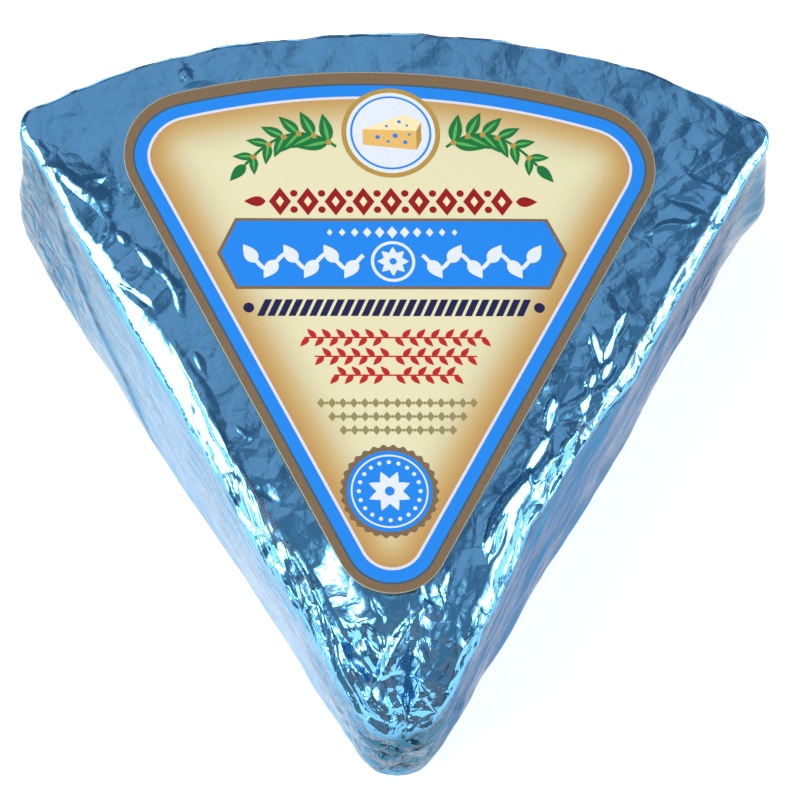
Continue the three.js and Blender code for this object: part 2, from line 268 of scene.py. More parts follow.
# %% [markdown]
# ## Where the foil is smooth and where it is not
#
# The sheet lies tight on the top and is pressed flat by the label. It is gathered wherever there was
# foil to spare: at the sharp tip, along the right-hand band beside the label, and in the rim corners.
# A short list of round zones says how strongly the foil is crumpled, so the character of each region
# can be given, while the creases themselves come from the formula. Two more short lists name the
# long folds and the flat leaves of foil between creases, because the eye takes those in one by one.

# %% Crumple zones and named folds
TOP_ZONES = [
    # middle, radius, strength
    ((0.0, 9.0), 13.0, 1.0),        # the gathered tip
    ((4.5, 20.0), 9.0, 0.8),
    ((15.0, 34.0), 9.0, 0.55),      # the band on the right, below its middle
    ((22.0, 49.0), 9.0, 0.85),
    ((28.0, 61.0), 8.0, 0.5),
    ((38.0, 76.0), 10.0, 0.36),
    ((45.0, 88.0), 9.0, 0.34),      # the right rim corner
    ((-43.0, 80.0), 7.0, 0.22),     # the left band, above its middle
    ((-36.0, 70.0), 6.0, 0.34),
    ((-22.0, 42.0), 9.0, 0.3),
    ((-13.0, 25.0), 10.0, 0.5),
    ((-30.0, 102.0), 4.0, 0.35),
]

TOP_FOLDS = [
    # from, through, to, height, width on the left of that way, width on its right
    ((3.0, 23.1), (-0.8, 17.2), (-6.0, 10.2), 1.2, 1.7, 1.5),       # the twisted ridges of the tip
    ((-12.4, 20.0), (-8.2, 18.9), (-1.5, 18.0), -0.5, 1.0, 2.2),
    ((-12.2, 17.2), (-8.9, 18.3), (-5.2, 18.9), -0.4, 0.9, 1.6),
    ((5.1, 27.8), (4.9, 26.2), (4.2, 24.5), 0.4, 0.7, 0.6),
    ((-49.1, 87.0), (-43.4, 82.4), (-40.7, 78.3), 0.8, 2.6, 1.1),   # the crescent on the left
    ((-40.7, 79.3), (-40.7, 76.3), (-41.9, 74.0), 0.6, 1.6, 0.9),
    ((-39.3, 77.4), (-38.5, 75.8), (-37.5, 74.3), 0.4, 1.2, 0.6),
    ((-37.4, 75.1), (-34.9, 72.5), (-32.5, 69.7), 0.4, 1.3, 0.5),
    ((-33.2, 71.9), (-31.8, 67.7), (-30.3, 63.2), 0.45, 1.4, 0.6),
    ((-39.7, 69.6), (-36.2, 66.5), (-33.8, 64.5), -0.45, 0.7, 0.9),
    ((-32.9, 62.0), (-26.8, 49.2), (-21.9, 38.8), 0.5, 1.9, 0.5),
    ((-29.0, 59.0), (-28.2, 57.3), (-27.1, 54.3), 0.25, 0.9, 0.4),
    ((-24.0, 49.0), (-21.9, 46.2), (-23.2, 45.2), 0.25, 0.7, 0.35),
    ((-21.3, 40.0), (-18.9, 38.3), (-17.3, 36.4), -0.5, 1.4, 1.0),
    ((32.8, 56.5), (24.9, 51.9), (19.7, 48.3), 0.6, 1.5, 1.5),      # the crease across the right band
    ((33.8, 76.7), (37.9, 78.3), (42.5, 79.0), 0.4, 0.8, 0.7),
    ((36.9, 83.3), (41.2, 81.6), (44.8, 80.4), -0.4, 0.9, 1.2),
    ((38.0, 88.8), (42.8, 84.7), (49.2, 81.4), 0.3, 0.6, 1.6),
    ((-30.8, 104.2), (-30.2, 101.6), (-29.5, 98.8), 0.45, 0.8, 1.0),
]

LEAVES = [
    # one end, other end, half width of a flat leaf of foil between creases
    ((11.8, 23.0), (17.0, 42.0), 3.9),      # the band on the right, upwards
    ((10.8, 27.5), (13.5, 35.0), 0.9),
    ((17.3, 30.0), (21.8, 37.0), 1.6),
    ((19.3, 34.5), (24.8, 43.5), 1.9),
    ((15.5, 40.0), (20.3, 47.2), 1.1),
    ((21.2, 42.0), (24.0, 47.4), 1.5),
    ((25.0, 45.5), (32.0, 52.0), 1.5),
    ((19.6, 46.5), (21.0, 53.0), 1.0),
    ((25.2, 51.0), (26.4, 56.8), 0.8),
    ((27.3, 54.2), (29.4, 58.6), 1.1),
    ((26.3, 63.0), (27.7, 56.8), 0.9),
    ((30.0, 62.0), (27.4, 56.8), 0.9),
    ((29.6, 60.8), (31.4, 66.0), 0.7),
    ((1.6, 26.4), (4.6, 21.9), 1.4),        # the tip
    ((-5.4, 24.2), (-3.4, 20.0), 0.6),
    ((-6.2, 20.1), (-2.8, 15.8), 1.1),
    ((-10.4, 17.0), (-7.9, 12.4), 1.0),
    ((1.2, 18.8), (3.2, 14.8), 0.9),
    ((5.2, 11.4), (9.4, 19.2), 1.5),
    ((-2.8, 12.6), (-0.4, 8.2), 1.1),
    ((-24.4, 42.0), (-20.4, 33.0), 1.3),    # beside the left edge
    ((-19.0, 30.0), (-15.0, 20.0), 1.7),
    ((-13.6, 20.2), (-8.4, 10.8), 1.5),
]
LEANS = (np.array([0.60, 0.32]), np.array([-0.52, 0.31]))   # rise towards the right, and towards the left
LEAF_RIM = 0.4                      # the share of a leaf's half width in which it rises to its full height


def top_strength(plan):
    """How strongly the top is crumpled at each place: the largest of the soft round zones."""
    strength = np.zeros(plan.shape[:-1])
    for middle, radius, most in TOP_ZONES:
        away = np.linalg.norm(plan - np.array(middle), axis=-1)
        strength = np.maximum(strength, most * np.exp(-((away / radius) ** 2)))
    return strength


def top_folds(plan):
    """The named folds: a sharp crest along a bent line, with flat flanks of their own widths."""
    height = np.zeros(plan.shape[:-1])
    for start, through, end, rise, left, right in TOP_FOLDS:
        a, b, c = (np.array(corner) for corner in (start, through, end))
        first, share_first = segment_distance(plan, a, b)
        second, share_second = segment_distance(plan, b, c)
        nearer = first < second
        along = np.where(nearer, share_first / 2, 0.5 + share_second / 2)
        way = np.where(nearer[..., None], b - a, c - b)
        offset = plan - b
        on_left = way[..., 0] * offset[..., 1] - way[..., 1] * offset[..., 0] > 0
        fade = smoothstep(along, -0.05, 0.45) * fades(along, 0.55, 1.05)
        flank = np.where(on_left, left, right) * (0.3 + 0.7 * fade)
        height += rise * fade * np.maximum(0, 1 - np.minimum(first, second) / flank)
    return height


def top_leaves(plan):
    """The named leaves: pointed flat patches, tilted as one piece, and how much of a place they cover.

    A leaf is as wide as one less the square of the way along it. It takes the lean that is more nearly
    square to its length, so that it rises across and hardly along.
    """
    height, cover = np.zeros(plan.shape[:-1]), np.zeros(plan.shape[:-1])
    for start, end, width in LEAVES:
        half = (np.array(end) - np.array(start)) / 2
        reach = np.linalg.norm(half)
        axis = half / reach
        offset = plan - (np.array(start) + half)
        along = offset @ axis / reach
        across = offset @ np.array([-axis[1], axis[0]]) / width
        inside = np.clip((1 - along**2 - np.abs(across)) / LEAF_RIM, 0, 1)
        lean = min(LEANS, key=lambda slope: abs(slope @ axis) / np.linalg.norm(slope))
        height += inside * (offset @ lean)
        cover = np.maximum(cover, inside)
    return height, cover


print(len(TOP_ZONES), "zones,", len(TOP_FOLDS), "named folds and", len(LEAVES), "leaves")

# %% [markdown]
# ## The sheet's turned-over flaps
#
# At the rim the spare foil is folded like the end of a gift parcel: a three-cornered flap comes round
# each rim corner and lies on the next wall, with a straight slanting edge. The flap is one folded hem
# thicker than the wall beyond it, so here it is a small step in the skin, with painted shade at its foot.

# %% Walls
FLAP_STEP = 0.4                     # how far a flap stands out from the wall beyond it
FLAP_LEAD = 6.0                     # how far before its wall begins a flap starts to rise
FLAP_EDGE = 1.7                     # half the width of the step
FLAP_SHADE = 0.8                    # half the width of the line of painted shade where a flap's edge lies on the wall
EAR_AT = (1.5, 13.0)                # the folded ear: how far past the start of the corner, and how high up
EAR_HALF = (3.2, 7.0)               # half its length and half its height
EAR_RISE = 1.8
WALL_BELLY = 0.15                   # how far the walls bulge half way up

corner_reach = WHEEL_RADIUS - RIM_CORNER_RADIUS
TIP_LENGTH = TIP_RADIUS * (np.pi / 2 - HALF_ANGLE)
SIDE_LENGTH = np.sqrt(corner_reach**2 - RIM_CORNER_RADIUS**2) - TIP_RADIUS / np.tan(HALF_ANGLE)
CORNER_LENGTH = RIM_CORNER_RADIUS * (np.pi / 2 + np.arcsin(RIM_CORNER_RADIUS / corner_reach))
print("tip, side and corner run", np.round([TIP_LENGTH, SIDE_LENGTH, CORNER_LENGTH], 1), "mm")


def flap_height(distance, up, length):
    """Half a step out where a flap lies and half a step in beyond it; and how near a flap's edge is."""
    right_corner = TIP_LENGTH + SIDE_LENGTH + CORNER_LENGTH
    flaps = [
        # where the wall begins, which way it leads on, edge at the top, edge at the floor
        (length - TIP_LENGTH - SIDE_LENGTH, 1, 0.7, 41.3),
        (TIP_LENGTH, 1, -10.0, 13.0),
        (length - right_corner, -1, 8.0, 34.0),
        (right_corner, 1, 8.0, 34.0),
    ]
    cover, hem = np.zeros(distance.shape), np.zeros(distance.shape)
    for start, onwards, top_at, base_at in flaps:
        along = (distance - start) * onwards
        edge = base_at + (top_at - base_at) * up
        begun = smoothstep(along, -FLAP_LEAD, -FLAP_LEAD / 2)
        cover = np.maximum(cover, begun * fades(along, edge - FLAP_EDGE, edge + FLAP_EDGE))
        hem = np.maximum(hem, begun * np.exp(-(((along - edge) / FLAP_SHADE) ** 2)))
    return FLAP_STEP * (cover - 0.5) * smoothstep(up, 0.02, 0.2), hem


def ear_height(distance, height):
    """The folded ear of foil that stands out from the right rim corner, half way up: a soft round hump."""
    across = (distance - (TIP_LENGTH + SIDE_LENGTH + EAR_AT[0])) / EAR_HALF[0]
    upwards = (height - EAR_AT[1]) / EAR_HALF[1]
    return EAR_RISE * np.exp(-(across**2) - upwards**2)


# %% [markdown]
# ## The skin of the wrapped wedge
#
# The skin is one closed grid. Every ring runs round the plan outline, closer together where the foil is
# busiest, and the rings climb from the underside over the walls and the rounded top edge to the label.
# Each point is then pushed along its normal by the crumple, the folds and the flaps. A grid like this
# keeps the creases sharp at three points to a millimetre and stays one watertight sheet.

# %% Skin grid
AROUND = (30, 270, 30, 90)          # steps on half the tip, a side, a rim corner and half the rim
BASE_EDGE_RADIUS = 2.4
BASE_STEPS = 7
WALL_STEPS = 42
EDGE_STEPS = (9, 8, 8)              # rings on the lower bend, the facet and the upper bend of the top edge
BAND_STEPS = 34
SINK_FALL = 1.8                     # how fast the foil beside a sunk edge comes back to its level
TOP_MIDDLE = np.array([0.0, 68.0])
UNDER_LABEL = 2.0                   # the rings reach this far under the label before they spread out
LABEL_SHARES = (0.85, 0.6, 0.3)     # the rings under the label, as shares of the way from the middle
BASE_SHARES = (0.35, 0.75, 0.93)    # and those of the underside
FOIL_TOP = WEDGE_HEIGHT + 0.1       # the foil lies just under the label
UNDERSIDE_RISE = 0.4                # the underside is a little hollow, and the folded ends lie in there

outline_points, outline_normals = rounded_sector(
    WHEEL_RADIUS, HALF_ANGLE, 0.0, TIP_RADIUS, RIM_CORNER_RADIUS, AROUND
)
hops = np.linalg.norm(np.roll(outline_points, -1, 0) - outline_points, axis=1)
outline_length = hops.sum()
outline_distance = np.concatenate([[0], np.cumsum(hops)[:-1]])
print(len(outline_points), "places round", round(float(outline_length), 1), "mm")


def tip_distance(distance):
    """How far along the outline the middle of the tip is, the shorter way round."""
    return np.minimum(distance, outline_length - distance)


# from the tip, inset of the wall at the floor and at the top, then the top edge: the radius of its lower
# bend, the width of its facet, the radius of its upper bend, the facet's slope and how far it has sunk
SECTIONS_LEFT = np.array([
    (0, 1.15, 0.0, 3.0, 3.0, 3.0, 50, 8), (7, 1.3, -1.8, 3.0, 2.4, 3.0, 54, 7),
    (14, 1.05, -1.8, 3.0, 1.6, 3.0, 54, 5), (24, 1.35, -1.5, 2.6, 2.1, 3.2, 57, 2),
    (33, 1.1, -1.5, 2.6, 2.2, 3.2, 57, 0.5), (42, 0.9, -1.2, 2.6, 2.1, 3.2, 57, 0),
    (49, 0.8, -0.4, 2.6, 2.0, 3.2, 57, 0), (57, 0.7, -0.4, 2.7, 1.9, 3.2, 57, 0),
    (66, 0.75, 0.1, 3.0, 1.5, 3.0, 57, 0), (74, 1.0, 0.3, 2.8, 1.1, 2.6, 57, 0),
    (80, 0.75, 0.6, 2.2, 1.0, 2.0, 57, 0), (87, 0.8, 1.3, 1.0, 0.6, 0.9, 57, 0),
    (92, 1.2, 2.0, 0.8, 0.5, 0.8, 57, 0), (100, 1.7, 2.4, 0.7, 0.5, 0.7, 57, 0),
    (104, 1.8, 1.8, 0.7, 0.4, 0.7, 57, 0), (108, 1.2, 1.1, 0.7, 0.3, 0.7, 57, 0),
    (130, 0.8, 0.5, 0.7, 0.3, 0.8, 57, 0), (142, 0.8, 1.05, 0.7, 0.3, 0.8, 57, 0),
    (163, 0.8, 1.4, 0.7, 0.3, 0.8, 57, 0),
])
SECTIONS_RIGHT = np.array([
    (0, 1.15, 0.0, 3.0, 3.0, 3.0, 50, 8), (7, 0.9, 0.8, 3.0, 2.0, 3.0, 54, 5),
    (14, 0.5, 1.2, 2.6, 1.2, 2.6, 55, 2), (24, 0.2, 1.8, 2.6, 0.9, 2.4, 57, 0),
    (34, 0.1, 3.0, 1.7, 1.8, 2.0, 57, 0), (42, 0.0, 2.5, 1.6, 2.0, 2.0, 57, 0),
    (50, -0.05, 2.2, 2.4, 0.9, 2.0, 57, 0), (54, 0.0, 1.6, 2.3, 0.9, 1.9, 57, 0),
    (64, 0.1, 1.3, 2.3, 0.8, 1.8, 57, 0), (76, 0.4, 1.6, 2.2, 0.8, 1.5, 57, 0),
    (84, 0.6, 1.7, 2.1, 0.8, 1.2, 57, 0), (95, 0.7, 1.9, 1.8, 0.8, 1.0, 57, 0),
    (104, 0.5, 1.2, 1.1, 0.5, 0.8, 57, 0), (110, 0.6, 1.8, 0.7, 0.3, 0.7, 57, 0),
    (116, 0.8, 1.1, 0.7, 0.3, 0.7, 57, 0), (134, 0.8, 0.8, 0.7, 0.3, 0.8, 57, 0),
    (150, 0.8, 1.3, 0.7, 0.3, 0.8, 57, 0), (163, 0.8, 1.4, 0.7, 0.3, 0.8, 57, 0),
])


def sections(distance):
    """The wall's seven measures at each distance round the outline, read between the rows of its side."""
    from_tip = tip_distance(distance)
    left, right = (
        np.stack([np.interp(from_tip, rows[:, 0], measure) for measure in rows.T[1:]])
        for rows in (SECTIONS_LEFT, SECTIONS_RIGHT)
    )
    return np.where(distance > outline_length / 2, left, right)[..., None]


def toward_label(points, outline):
    """For each place, the point just under the label's edge that lies towards the middle of the top."""
    away = outline - TOP_MIDDLE
    angle = np.arctan2(away[:, 1], away[:, 0])
    order = np.argsort(angle)
    reach = np.linalg.norm(away, axis=1)
    ray = points - TOP_MIDDLE
    radius = np.interp(np.arctan2(ray[:, 1], ray[:, 0]), angle[order], reach[order], period=2 * np.pi)
    return TOP_MIDDLE + ray * ((radius - UNDER_LABEL) / np.linalg.norm(ray, axis=1))[:, None]


def skin_rings():
    """The smooth skin: for every ring its points, its normals and the share of it that is top.

    The top edge is a bend from upright to the facet's slope, the straight facet, and a bend from there
    to level. Its height is the two bends' rise plus the facet's, so the wall below ends that much lower.
    """
    base_inset, top_inset, low_bend, facet, high_bend, slope, sink = sections(outline_distance)
    slope = np.radians(slope)
    sin, cos = np.sin(slope), np.cos(slope)
    wall_top = FOIL_TOP - sink - low_bend * sin - facet * cos - high_bend * (1 - sin)
    rings, normals, tops = [], [], []

    def add(roll, height, turn):
        height, turn = height + 0 * wall_top, turn + 0 * wall_top
        inset = roll + base_inset + (top_inset - base_inset) * np.clip(height / WEDGE_HEIGHT, 0, 1)
        rings.append(np.concatenate([outline_points - outline_normals * inset, height], 1))
        normals.append(np.concatenate([outline_normals * np.cos(turn), np.sin(turn)], 1))
        tops.append(np.maximum(0, np.sin(turn[:, 0])))

    for turn in np.linspace(-np.pi / 2, 0, BASE_STEPS + 1):
        add(BASE_EDGE_RADIUS * (1 - np.cos(turn)), BASE_EDGE_RADIUS * (1 + np.sin(turn)), turn)
    for share in np.linspace(0, 1, WALL_STEPS + 1)[1:-1]:
        add(0, BASE_EDGE_RADIUS + share * (wall_top - BASE_EDGE_RADIUS), 0.0)
    for turn in (share * slope for share in np.linspace(0, 1, EDGE_STEPS[0] + 1)):
        add(low_bend * (1 - np.cos(turn)), wall_top + low_bend * np.sin(turn), turn)
    foot, foot_height = low_bend * (1 - cos), wall_top + low_bend * sin
    for share in np.linspace(0, 1, EDGE_STEPS[1] + 1)[1:-1]:
        add(foot + share * facet * sin, foot_height + share * facet * cos, slope)
    head, head_height = foot + facet * sin, foot_height + facet * cos
    for turn in (slope + share * (np.pi / 2 - slope) for share in np.linspace(0, 1, EDGE_STEPS[2] + 1)):
        add(head + high_bend * (cos - np.cos(turn)), head_height + high_bend * (np.sin(turn) - sin), turn)
    edge = rings[-1][:, :2]
    inner = toward_label(edge, coarse_label)
    shares = np.linspace(0, 1, BAND_STEPS + 1)[1:]
    plans = [(edge + (inner - edge) * share, (1 - share) ** SINK_FALL) for share in shares]
    plans += [(TOP_MIDDLE + (inner - TOP_MIDDLE) * share, 0.0) for share in LABEL_SHARES]
    for plan, sunk in plans:
        rings.append(np.concatenate([plan, FOIL_TOP - sink * sunk], 1))
        normals.append(np.tile([0.0, 0.0, 1.0], (len(plan), 1)))
        tops.append(np.ones(len(plan)))
    base_plans = [TOP_MIDDLE + (rings[0][:, :2] - TOP_MIDDLE) * share for share in BASE_SHARES]
    base = [np.concatenate([plan, np.full((len(plan), 1), UNDERSIDE_RISE)], 1) for plan in base_plans]
    down = [np.tile([0.0, 0.0, -1.0], (len(outline_points), 1))] * len(base)
    return np.array(base + rings), np.array(down + normals), np.array([tops[0] * 0] * len(base) + tops)


smooth_rings, smooth_normals, top_share = skin_rings()
print(smooth_rings.shape[0], "rings")

# %% [markdown]
# ## Relief and marks
#
# Each place of the smooth skin is pushed out along its normal by the relief: facets of several sizes
# where the foil is loose, long facets along the walls and the edge, gathers that fan out from the tip,
# and the folds that can be told apart. The same places carry marks, numbers from 0 to 1 that the
# material reads later, such as how loose the foil is there or how much painted shade darkens it.

# %% Relief of the foil
GATHER_POINT = np.array([-3.0, -6.0])   # the gathers of the tip fan out from here
GATHER_STRETCH = 2.4
GATHER_SPREAD = 20.0
FOLD_BEND = 0.6                     # the crests of the named folds wander by about this much
SHEET_STRETCH = 5.0                 # how much longer than wide the smoke and the streaks of the walls are

WALL_ZONES = [
    # side, distance from the tip, height, half length, half height, strength of the fine wrinkles
    ("left", 92.0, 9.0, 8.0, 8.0, 0.9),
    ("left", 96.0, 26.0, 4.0, 8.0, 0.5),
    ("left", 0.0, 12.0, 6.5, 8.0, 1.0),
    ("right", 0.0, 12.0, 5.0, 8.0, 1.0),
    ("left", 30.0, 22.0, 14.0, 5.0, 0.35),
    ("right", 86.0, 10.0, 9.0, 8.0, 0.3),
    ("right", 138.0, 17.0, 24.0, 14.0, 0.42),
    ("left", 138.0, 17.0, 24.0, 14.0, 0.42),
]


def unrolled(distance, climb, stretch):
    """The sheet unrolled on to a cylinder, so that it has no seam, and squeezed along the outline.

    Facets of a crumple that reads this place come out stretch times as long along the edge as across.
    """
    angle = 2 * np.pi * distance / outline_length
    radius = outline_length / (2 * np.pi) / stretch
    return np.stack([radius * np.cos(angle), radius * np.sin(angle), climb], -1)


def radiating(plan):
    """A place by its distance from the sharp tip, squeezed, and by its direction from there.

    Facets of a crumple that reads this place fan out from the tip, like the gathers of a wrapper.
    """
    away = plan - GATHER_POINT
    reach = np.linalg.norm(away, axis=-1)
    angle = np.arctan2(away[..., 0], away[..., 1])
    return np.stack([reach / GATHER_STRETCH, GATHER_SPREAD * angle, 0 * angle], -1)


def near_tip(distance, reach):
    """1 in the middle of the tip, and less and less on both sides: a bell curve of the given reach."""
    return np.exp(-((tip_distance(distance) / reach) ** 2))


def wall_roughness(distance):
    """How creased a wall is: hardly on the left, a little on the right, most of all round the rim."""
    round_rim = smoothstep(tip_distance(distance), 97.0, 106.0)
    return np.where(distance < outline_length / 2, 0.2 + 0.8 * round_rim, round_rim)


def foil_relief(place, top, distance, climb):
    """How far the skin is pushed out at each place, in millimetres.

    Three crumples of shrinking facets are weighted by how loose the foil is there; the walls and the
    edges take long facets that run along them; the named folds and leaves, the flaps, the ear and the
    puckers of the tip are added. The label presses the foil beneath it flat.
    """
    plan = place[..., :2]
    up = np.clip(place[..., 2] / WEDGE_HEIGHT, 0, 1)
    free = smoothstep(distance_outside(plan, coarse_label), -0.5, 2.0)
    loose = top_strength(plan)

    # each crumple: the place that it reads, the size of its facets, how far they are bent, its seed
    large = bent_crumple(place, 9.5, 0.5, 1)
    middle = bent_crumple(place + 40, 4.6, 0.7, 2)
    small = bent_crumple(place + 80, 1.8, 0.6, 3)
    shards = bent_crumple(unrolled(distance, climb, 2.8), 2.8, 0.6, 5)
    streaks = bent_crumple(unrolled(distance, climb, 6.0), 3.4, 0.4, 4)
    gathers = bent_crumple(radiating(plan), 2.4, 0.6, 6)

    on_top = (0.22 + 0.50 * loose) * large + (0.13 + 0.58 * loose) * middle
    on_top += (0.02 + 0.07 * loose) * small
    by_tip = near_tip(distance, 16.0)
    on_top += (0.04 + 0.38 * loose**2) * ((1 - by_tip) * shards + by_tip * gathers)
    bend = np.stack([crumple(place / 3.4, 21), crumple(place / 3.4, 22)], -1)
    leaves, cover = top_leaves(plan + 0.5 * FOLD_BEND * bend)
    on_top = free * ((1 - 0.8 * cover) * on_top + top_folds(plan + FOLD_BEND * bend) + leaves)

    rougher = wall_roughness(distance)
    walls = (0.26 + 0.65 * rougher) * large + 0.05 * streaks + (0.11 + 0.25 * rougher) * middle
    walls += near_tip(distance, 13.0) * (0.7 * middle + 0.4 * small) * np.sin(np.pi * up) ** 0.5
    walls += flap_height(distance, up, outline_length)[0] + ear_height(distance, place[..., 2])
    walls += WALL_BELLY * np.sin(np.pi * up)

    lower = fades(tip_distance(distance), 50.0, 80.0)
    edge = 4 * top * (1 - top)
    worn = edge * ((0.10 + 0.25 * lower) * shards + (0.10 + 0.15 * lower) * middle + 0.05 * small)
    return top * on_top + (1 - top) * walls + worn


# %% Marks for the foil's material
def wrinkle_fields(distance, height):
    """The largest of the soft oval fields on the walls, which hardly reach over the rim on to the top."""
    wrinkled = np.zeros(distance.shape)
    for side, middle, level, half_length, half_height, most in WALL_ZONES:
        along = (distance - (outline_length - middle if side == "left" else middle)) / half_length
        upwards = (height - level) / half_height
        wrinkled = np.maximum(wrinkled, most * np.exp(-(along**2) - upwards**2))
    return wrinkled * (1 - top_share * smoothstep(tip_distance(distance), 100.0, 110.0))


def foil_marks(distance):
    """What the material reads at each point, by name, as numbers from 0 to 1.

    loose: how crumpled the foil is. wall: where faint streaks run. shaded: painted shade in the tight knot
    at the tip and along the feet of the flaps. painted_wall_shade: how much darker the walls are painted,
    as
    painted shade. right_wall_shade: painted shade on the right-hand wall at a glancing angle. wrinkled:
    fields of sharp wrinkles on the walls. strands: where the edge is drawn out into fine strands.
    """
    from_tip, height, plan = tip_distance(distance), smooth_rings[..., 2], smooth_rings[..., :2]
    on_left = distance > outline_length / 2
    on_wall = 1 - top_share
    edge = 4 * top_share * on_wall
    rougher = wall_roughness(distance)
    by_tip = near_tip(distance, 12.0) * on_wall

    loose = top_share * top_strength(plan) + edge * (0.12 + 0.3 * fades(from_tip, 50.0, 80.0))
    loose += 0.7 * by_tip + 0.3 * rougher * on_wall
    flat_leaf = top_leaves(plan)[1]

    # painted shade: the tight knot half way up the tip's wall and the feet of the flaps are painted darker
    knot = near_tip(distance, 7.5) * smoothstep(height, 3.0, 6.0) * fades(height, 19.0, 26.0)
    hem = flap_height(distance, np.clip(height / WEDGE_HEIGHT, 0, 1), outline_length)[1]
    shaded = np.maximum(knot, 0.8 * hem * on_wall)
    # painted shade on the walls: their blue is painted darker, most towards the rim and at the tip, as if
    # the surroundings they mirror were darker
    painted_wall_shade = on_wall * (0.6 + 0.4 * smoothstep(from_tip, 50.0, 95.0) + 0.3 * by_tip)
    # painted shade on the right-hand wall: less light at a glancing angle, as if the floor beside it that
    # it mirrors lay in shade
    right_wall_shade = smoothstep(from_tip, 2.0, 12.0) * fades(from_tip, 88.0, 98.0) * on_wall

    strands = smoothstep(from_tip, 1.0, 8.0) * fades(from_tip, 40.0, 62.0)
    strands = strands * smoothstep(height, 11.0, 19.0) * fades(top_share, 0.85, 1.0)
    return {
        "loose": np.clip(loose, 0, 1) * (1 - 0.8 * flat_leaf * top_share),
        "wall": on_wall * (1 - 0.75 * rougher),
        "shaded": shaded,
        "painted_wall_shade": np.maximum(painted_wall_shade, 0.9 * shaded),
        "right_wall_shade": np.where(on_left, 0.0, right_wall_shade),
        "wrinkled": wrinkle_fields(distance, height),
        "strands": np.where(on_left, strands, 0.35 * edge),
    }


# %% The skin itself
def foil_skin():
    """The crumpled skin as one closed mesh that stands for the wrapped wedge."""
    distance = np.broadcast_to(outline_distance, top_share.shape)
    rises = np.linalg.norm(np.diff(smooth_rings, axis=0, prepend=smooth_rings[:1]), axis=-1)
    climb = np.cumsum(rises, axis=0)
    push = foil_relief(smooth_rings, top_share, distance, climb)
    push = push * smoothstep(smooth_normals[..., 2], -1.0, -0.3)
    rings = smooth_rings + smooth_normals * push[..., None]
    poles = [*TOP_MIDDLE, UNDERSIDE_RISE], [*TOP_MIDDLE, FOIL_TOP]
    skin = new_piece("foil_skin", *closed_skin(rings, *poles))
    print("relief from", round(float(push.min()), 1), "to", round(float(push.max()), 1), "mm")
    for name, numbers in foil_marks(distance).items():
        add_attribute(skin, name, "FLOAT", numbers)
        print("mark", name, "is", round(float(numbers.mean()), 2), "on average")
    add_attribute(skin, "sheet", "FLOAT_VECTOR", unrolled(distance, climb, SHEET_STRETCH))
    return skin


foil = foil_skin()
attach(foil, "root")
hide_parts("foil_wedge")
print("foil skin has", len(foil.data.polygons), "faces")

# %% [markdown]
# ## Foil as a material
#
# Blue foil is aluminium under a clear blue lacquer. Seen head-on it tints what it mirrors, and at a
# glancing angle it mirrors almost white, which a metallic surface with a blue base colour does by
# itself. Wrinkles that are too small for the mesh come from bumps laid one over the other: creased
# facets of shrinking size where the foil is loose, sharper ones in the wrinkled fields of the walls,
# and faint streaks and strands that run along the walls and the edge.

# %% Node helpers
def new_material(name):
    """A new material, its node tree and the Principled shader in it."""
    material = bpy.data.materials.new(name)
    material.use_nodes = True
    return material, material.node_tree, material.node_tree.nodes["Principled BSDF"]


def plug(tree, socket, value):
    """Gives a socket its value: the output of another node is linked, a number or a colour is set."""
    if isinstance(value, bpy.types.NodeSocket):
        tree.links.new(value, socket)
    else:
        socket.default_value = value


def set_sockets(tree, node, **values):
    """Plugs the named sockets of a node; an underscore in a name stands for a space."""
    for key, value in values.items():
        plug(tree, node.inputs[key.replace("_", " ")], value)


def add_node(tree, kind, **settings):
    """A node of a kind; settings with a lower-case name are its properties, the others its sockets."""
    node = tree.nodes.new(kind)
    for key, value in settings.items():
        if key[0].islower():
            setattr(node, key, value)
        else:
            set_sockets(tree, node, **{key: value})
    return node


def place_node(tree):
    """The place on the piece, in metres."""
    return add_node(tree, "ShaderNodeTexCoord").outputs["Object"]


def mark_node(tree, name, output="Fac"):
    """What a mesh attribute holds at the point that is shaded."""
    return add_node(tree, "ShaderNodeAttribute", attribute_name=name).outputs[output]


def noise_node(tree, vector, output="Fac", **settings):
    """A cloudy noise read at a place: a number round 0.5, or three of them as a colour."""
    return add_node(tree, "ShaderNodeTexNoise", Vector=vector, **settings).outputs[output]


def ramp_node(tree, value, *stops):
    """The colour of a value on a ramp through (position, colour) stops; a grey may be one number."""
    node = add_node(tree, "ShaderNodeValToRGB", Fac=value)
    elements = node.color_ramp.elements
    while len(elements) < len(stops):
        elements.new(0.5)
    for element, (position, colour) in zip(elements, stops):
        rgb = (colour,) * 3 if np.isscalar(colour) else colour
        element.position = position
        element.color = (*rgb, 1.0)
    return node.outputs["Color"]


def mix_node(tree, share, first, second, blend="MIX"):
    """The first colour blended with the second by a share."""
    settings = {"data_type": "RGBA", "blend_type": blend, "Factor": share, "A": first, "B": second}
    return add_node(tree, "ShaderNodeMix", **settings).outputs["Result"]


def math_node(tree, operation, *values, kind="ShaderNodeMath", output="Value"):
    """The outcome of a calculation with numbers."""
    node = add_node(tree, kind, operation=operation)
    for socket, value in zip(node.inputs, values):
        plug(tree, socket, value)
    return node.outputs[output]


def vector_node(tree, operation, *values, output="Vector"):
    """The outcome of a calculation with vectors; a dot product's is the output called Value."""
    return math_node(tree, operation, *values, kind="ShaderNodeVectorMath", output=output)


def bump_node(tree, height, distance, below=None, strength=1.0):
    """The normal after a bump of a height in metres, laid over the normal of the bump below it."""
    node = add_node(tree, "ShaderNodeBump", Strength=strength, Distance=distance, Height=height)
    if below is not None:
        set_sockets(tree, node, Normal=below)
    return node.outputs["Normal"]


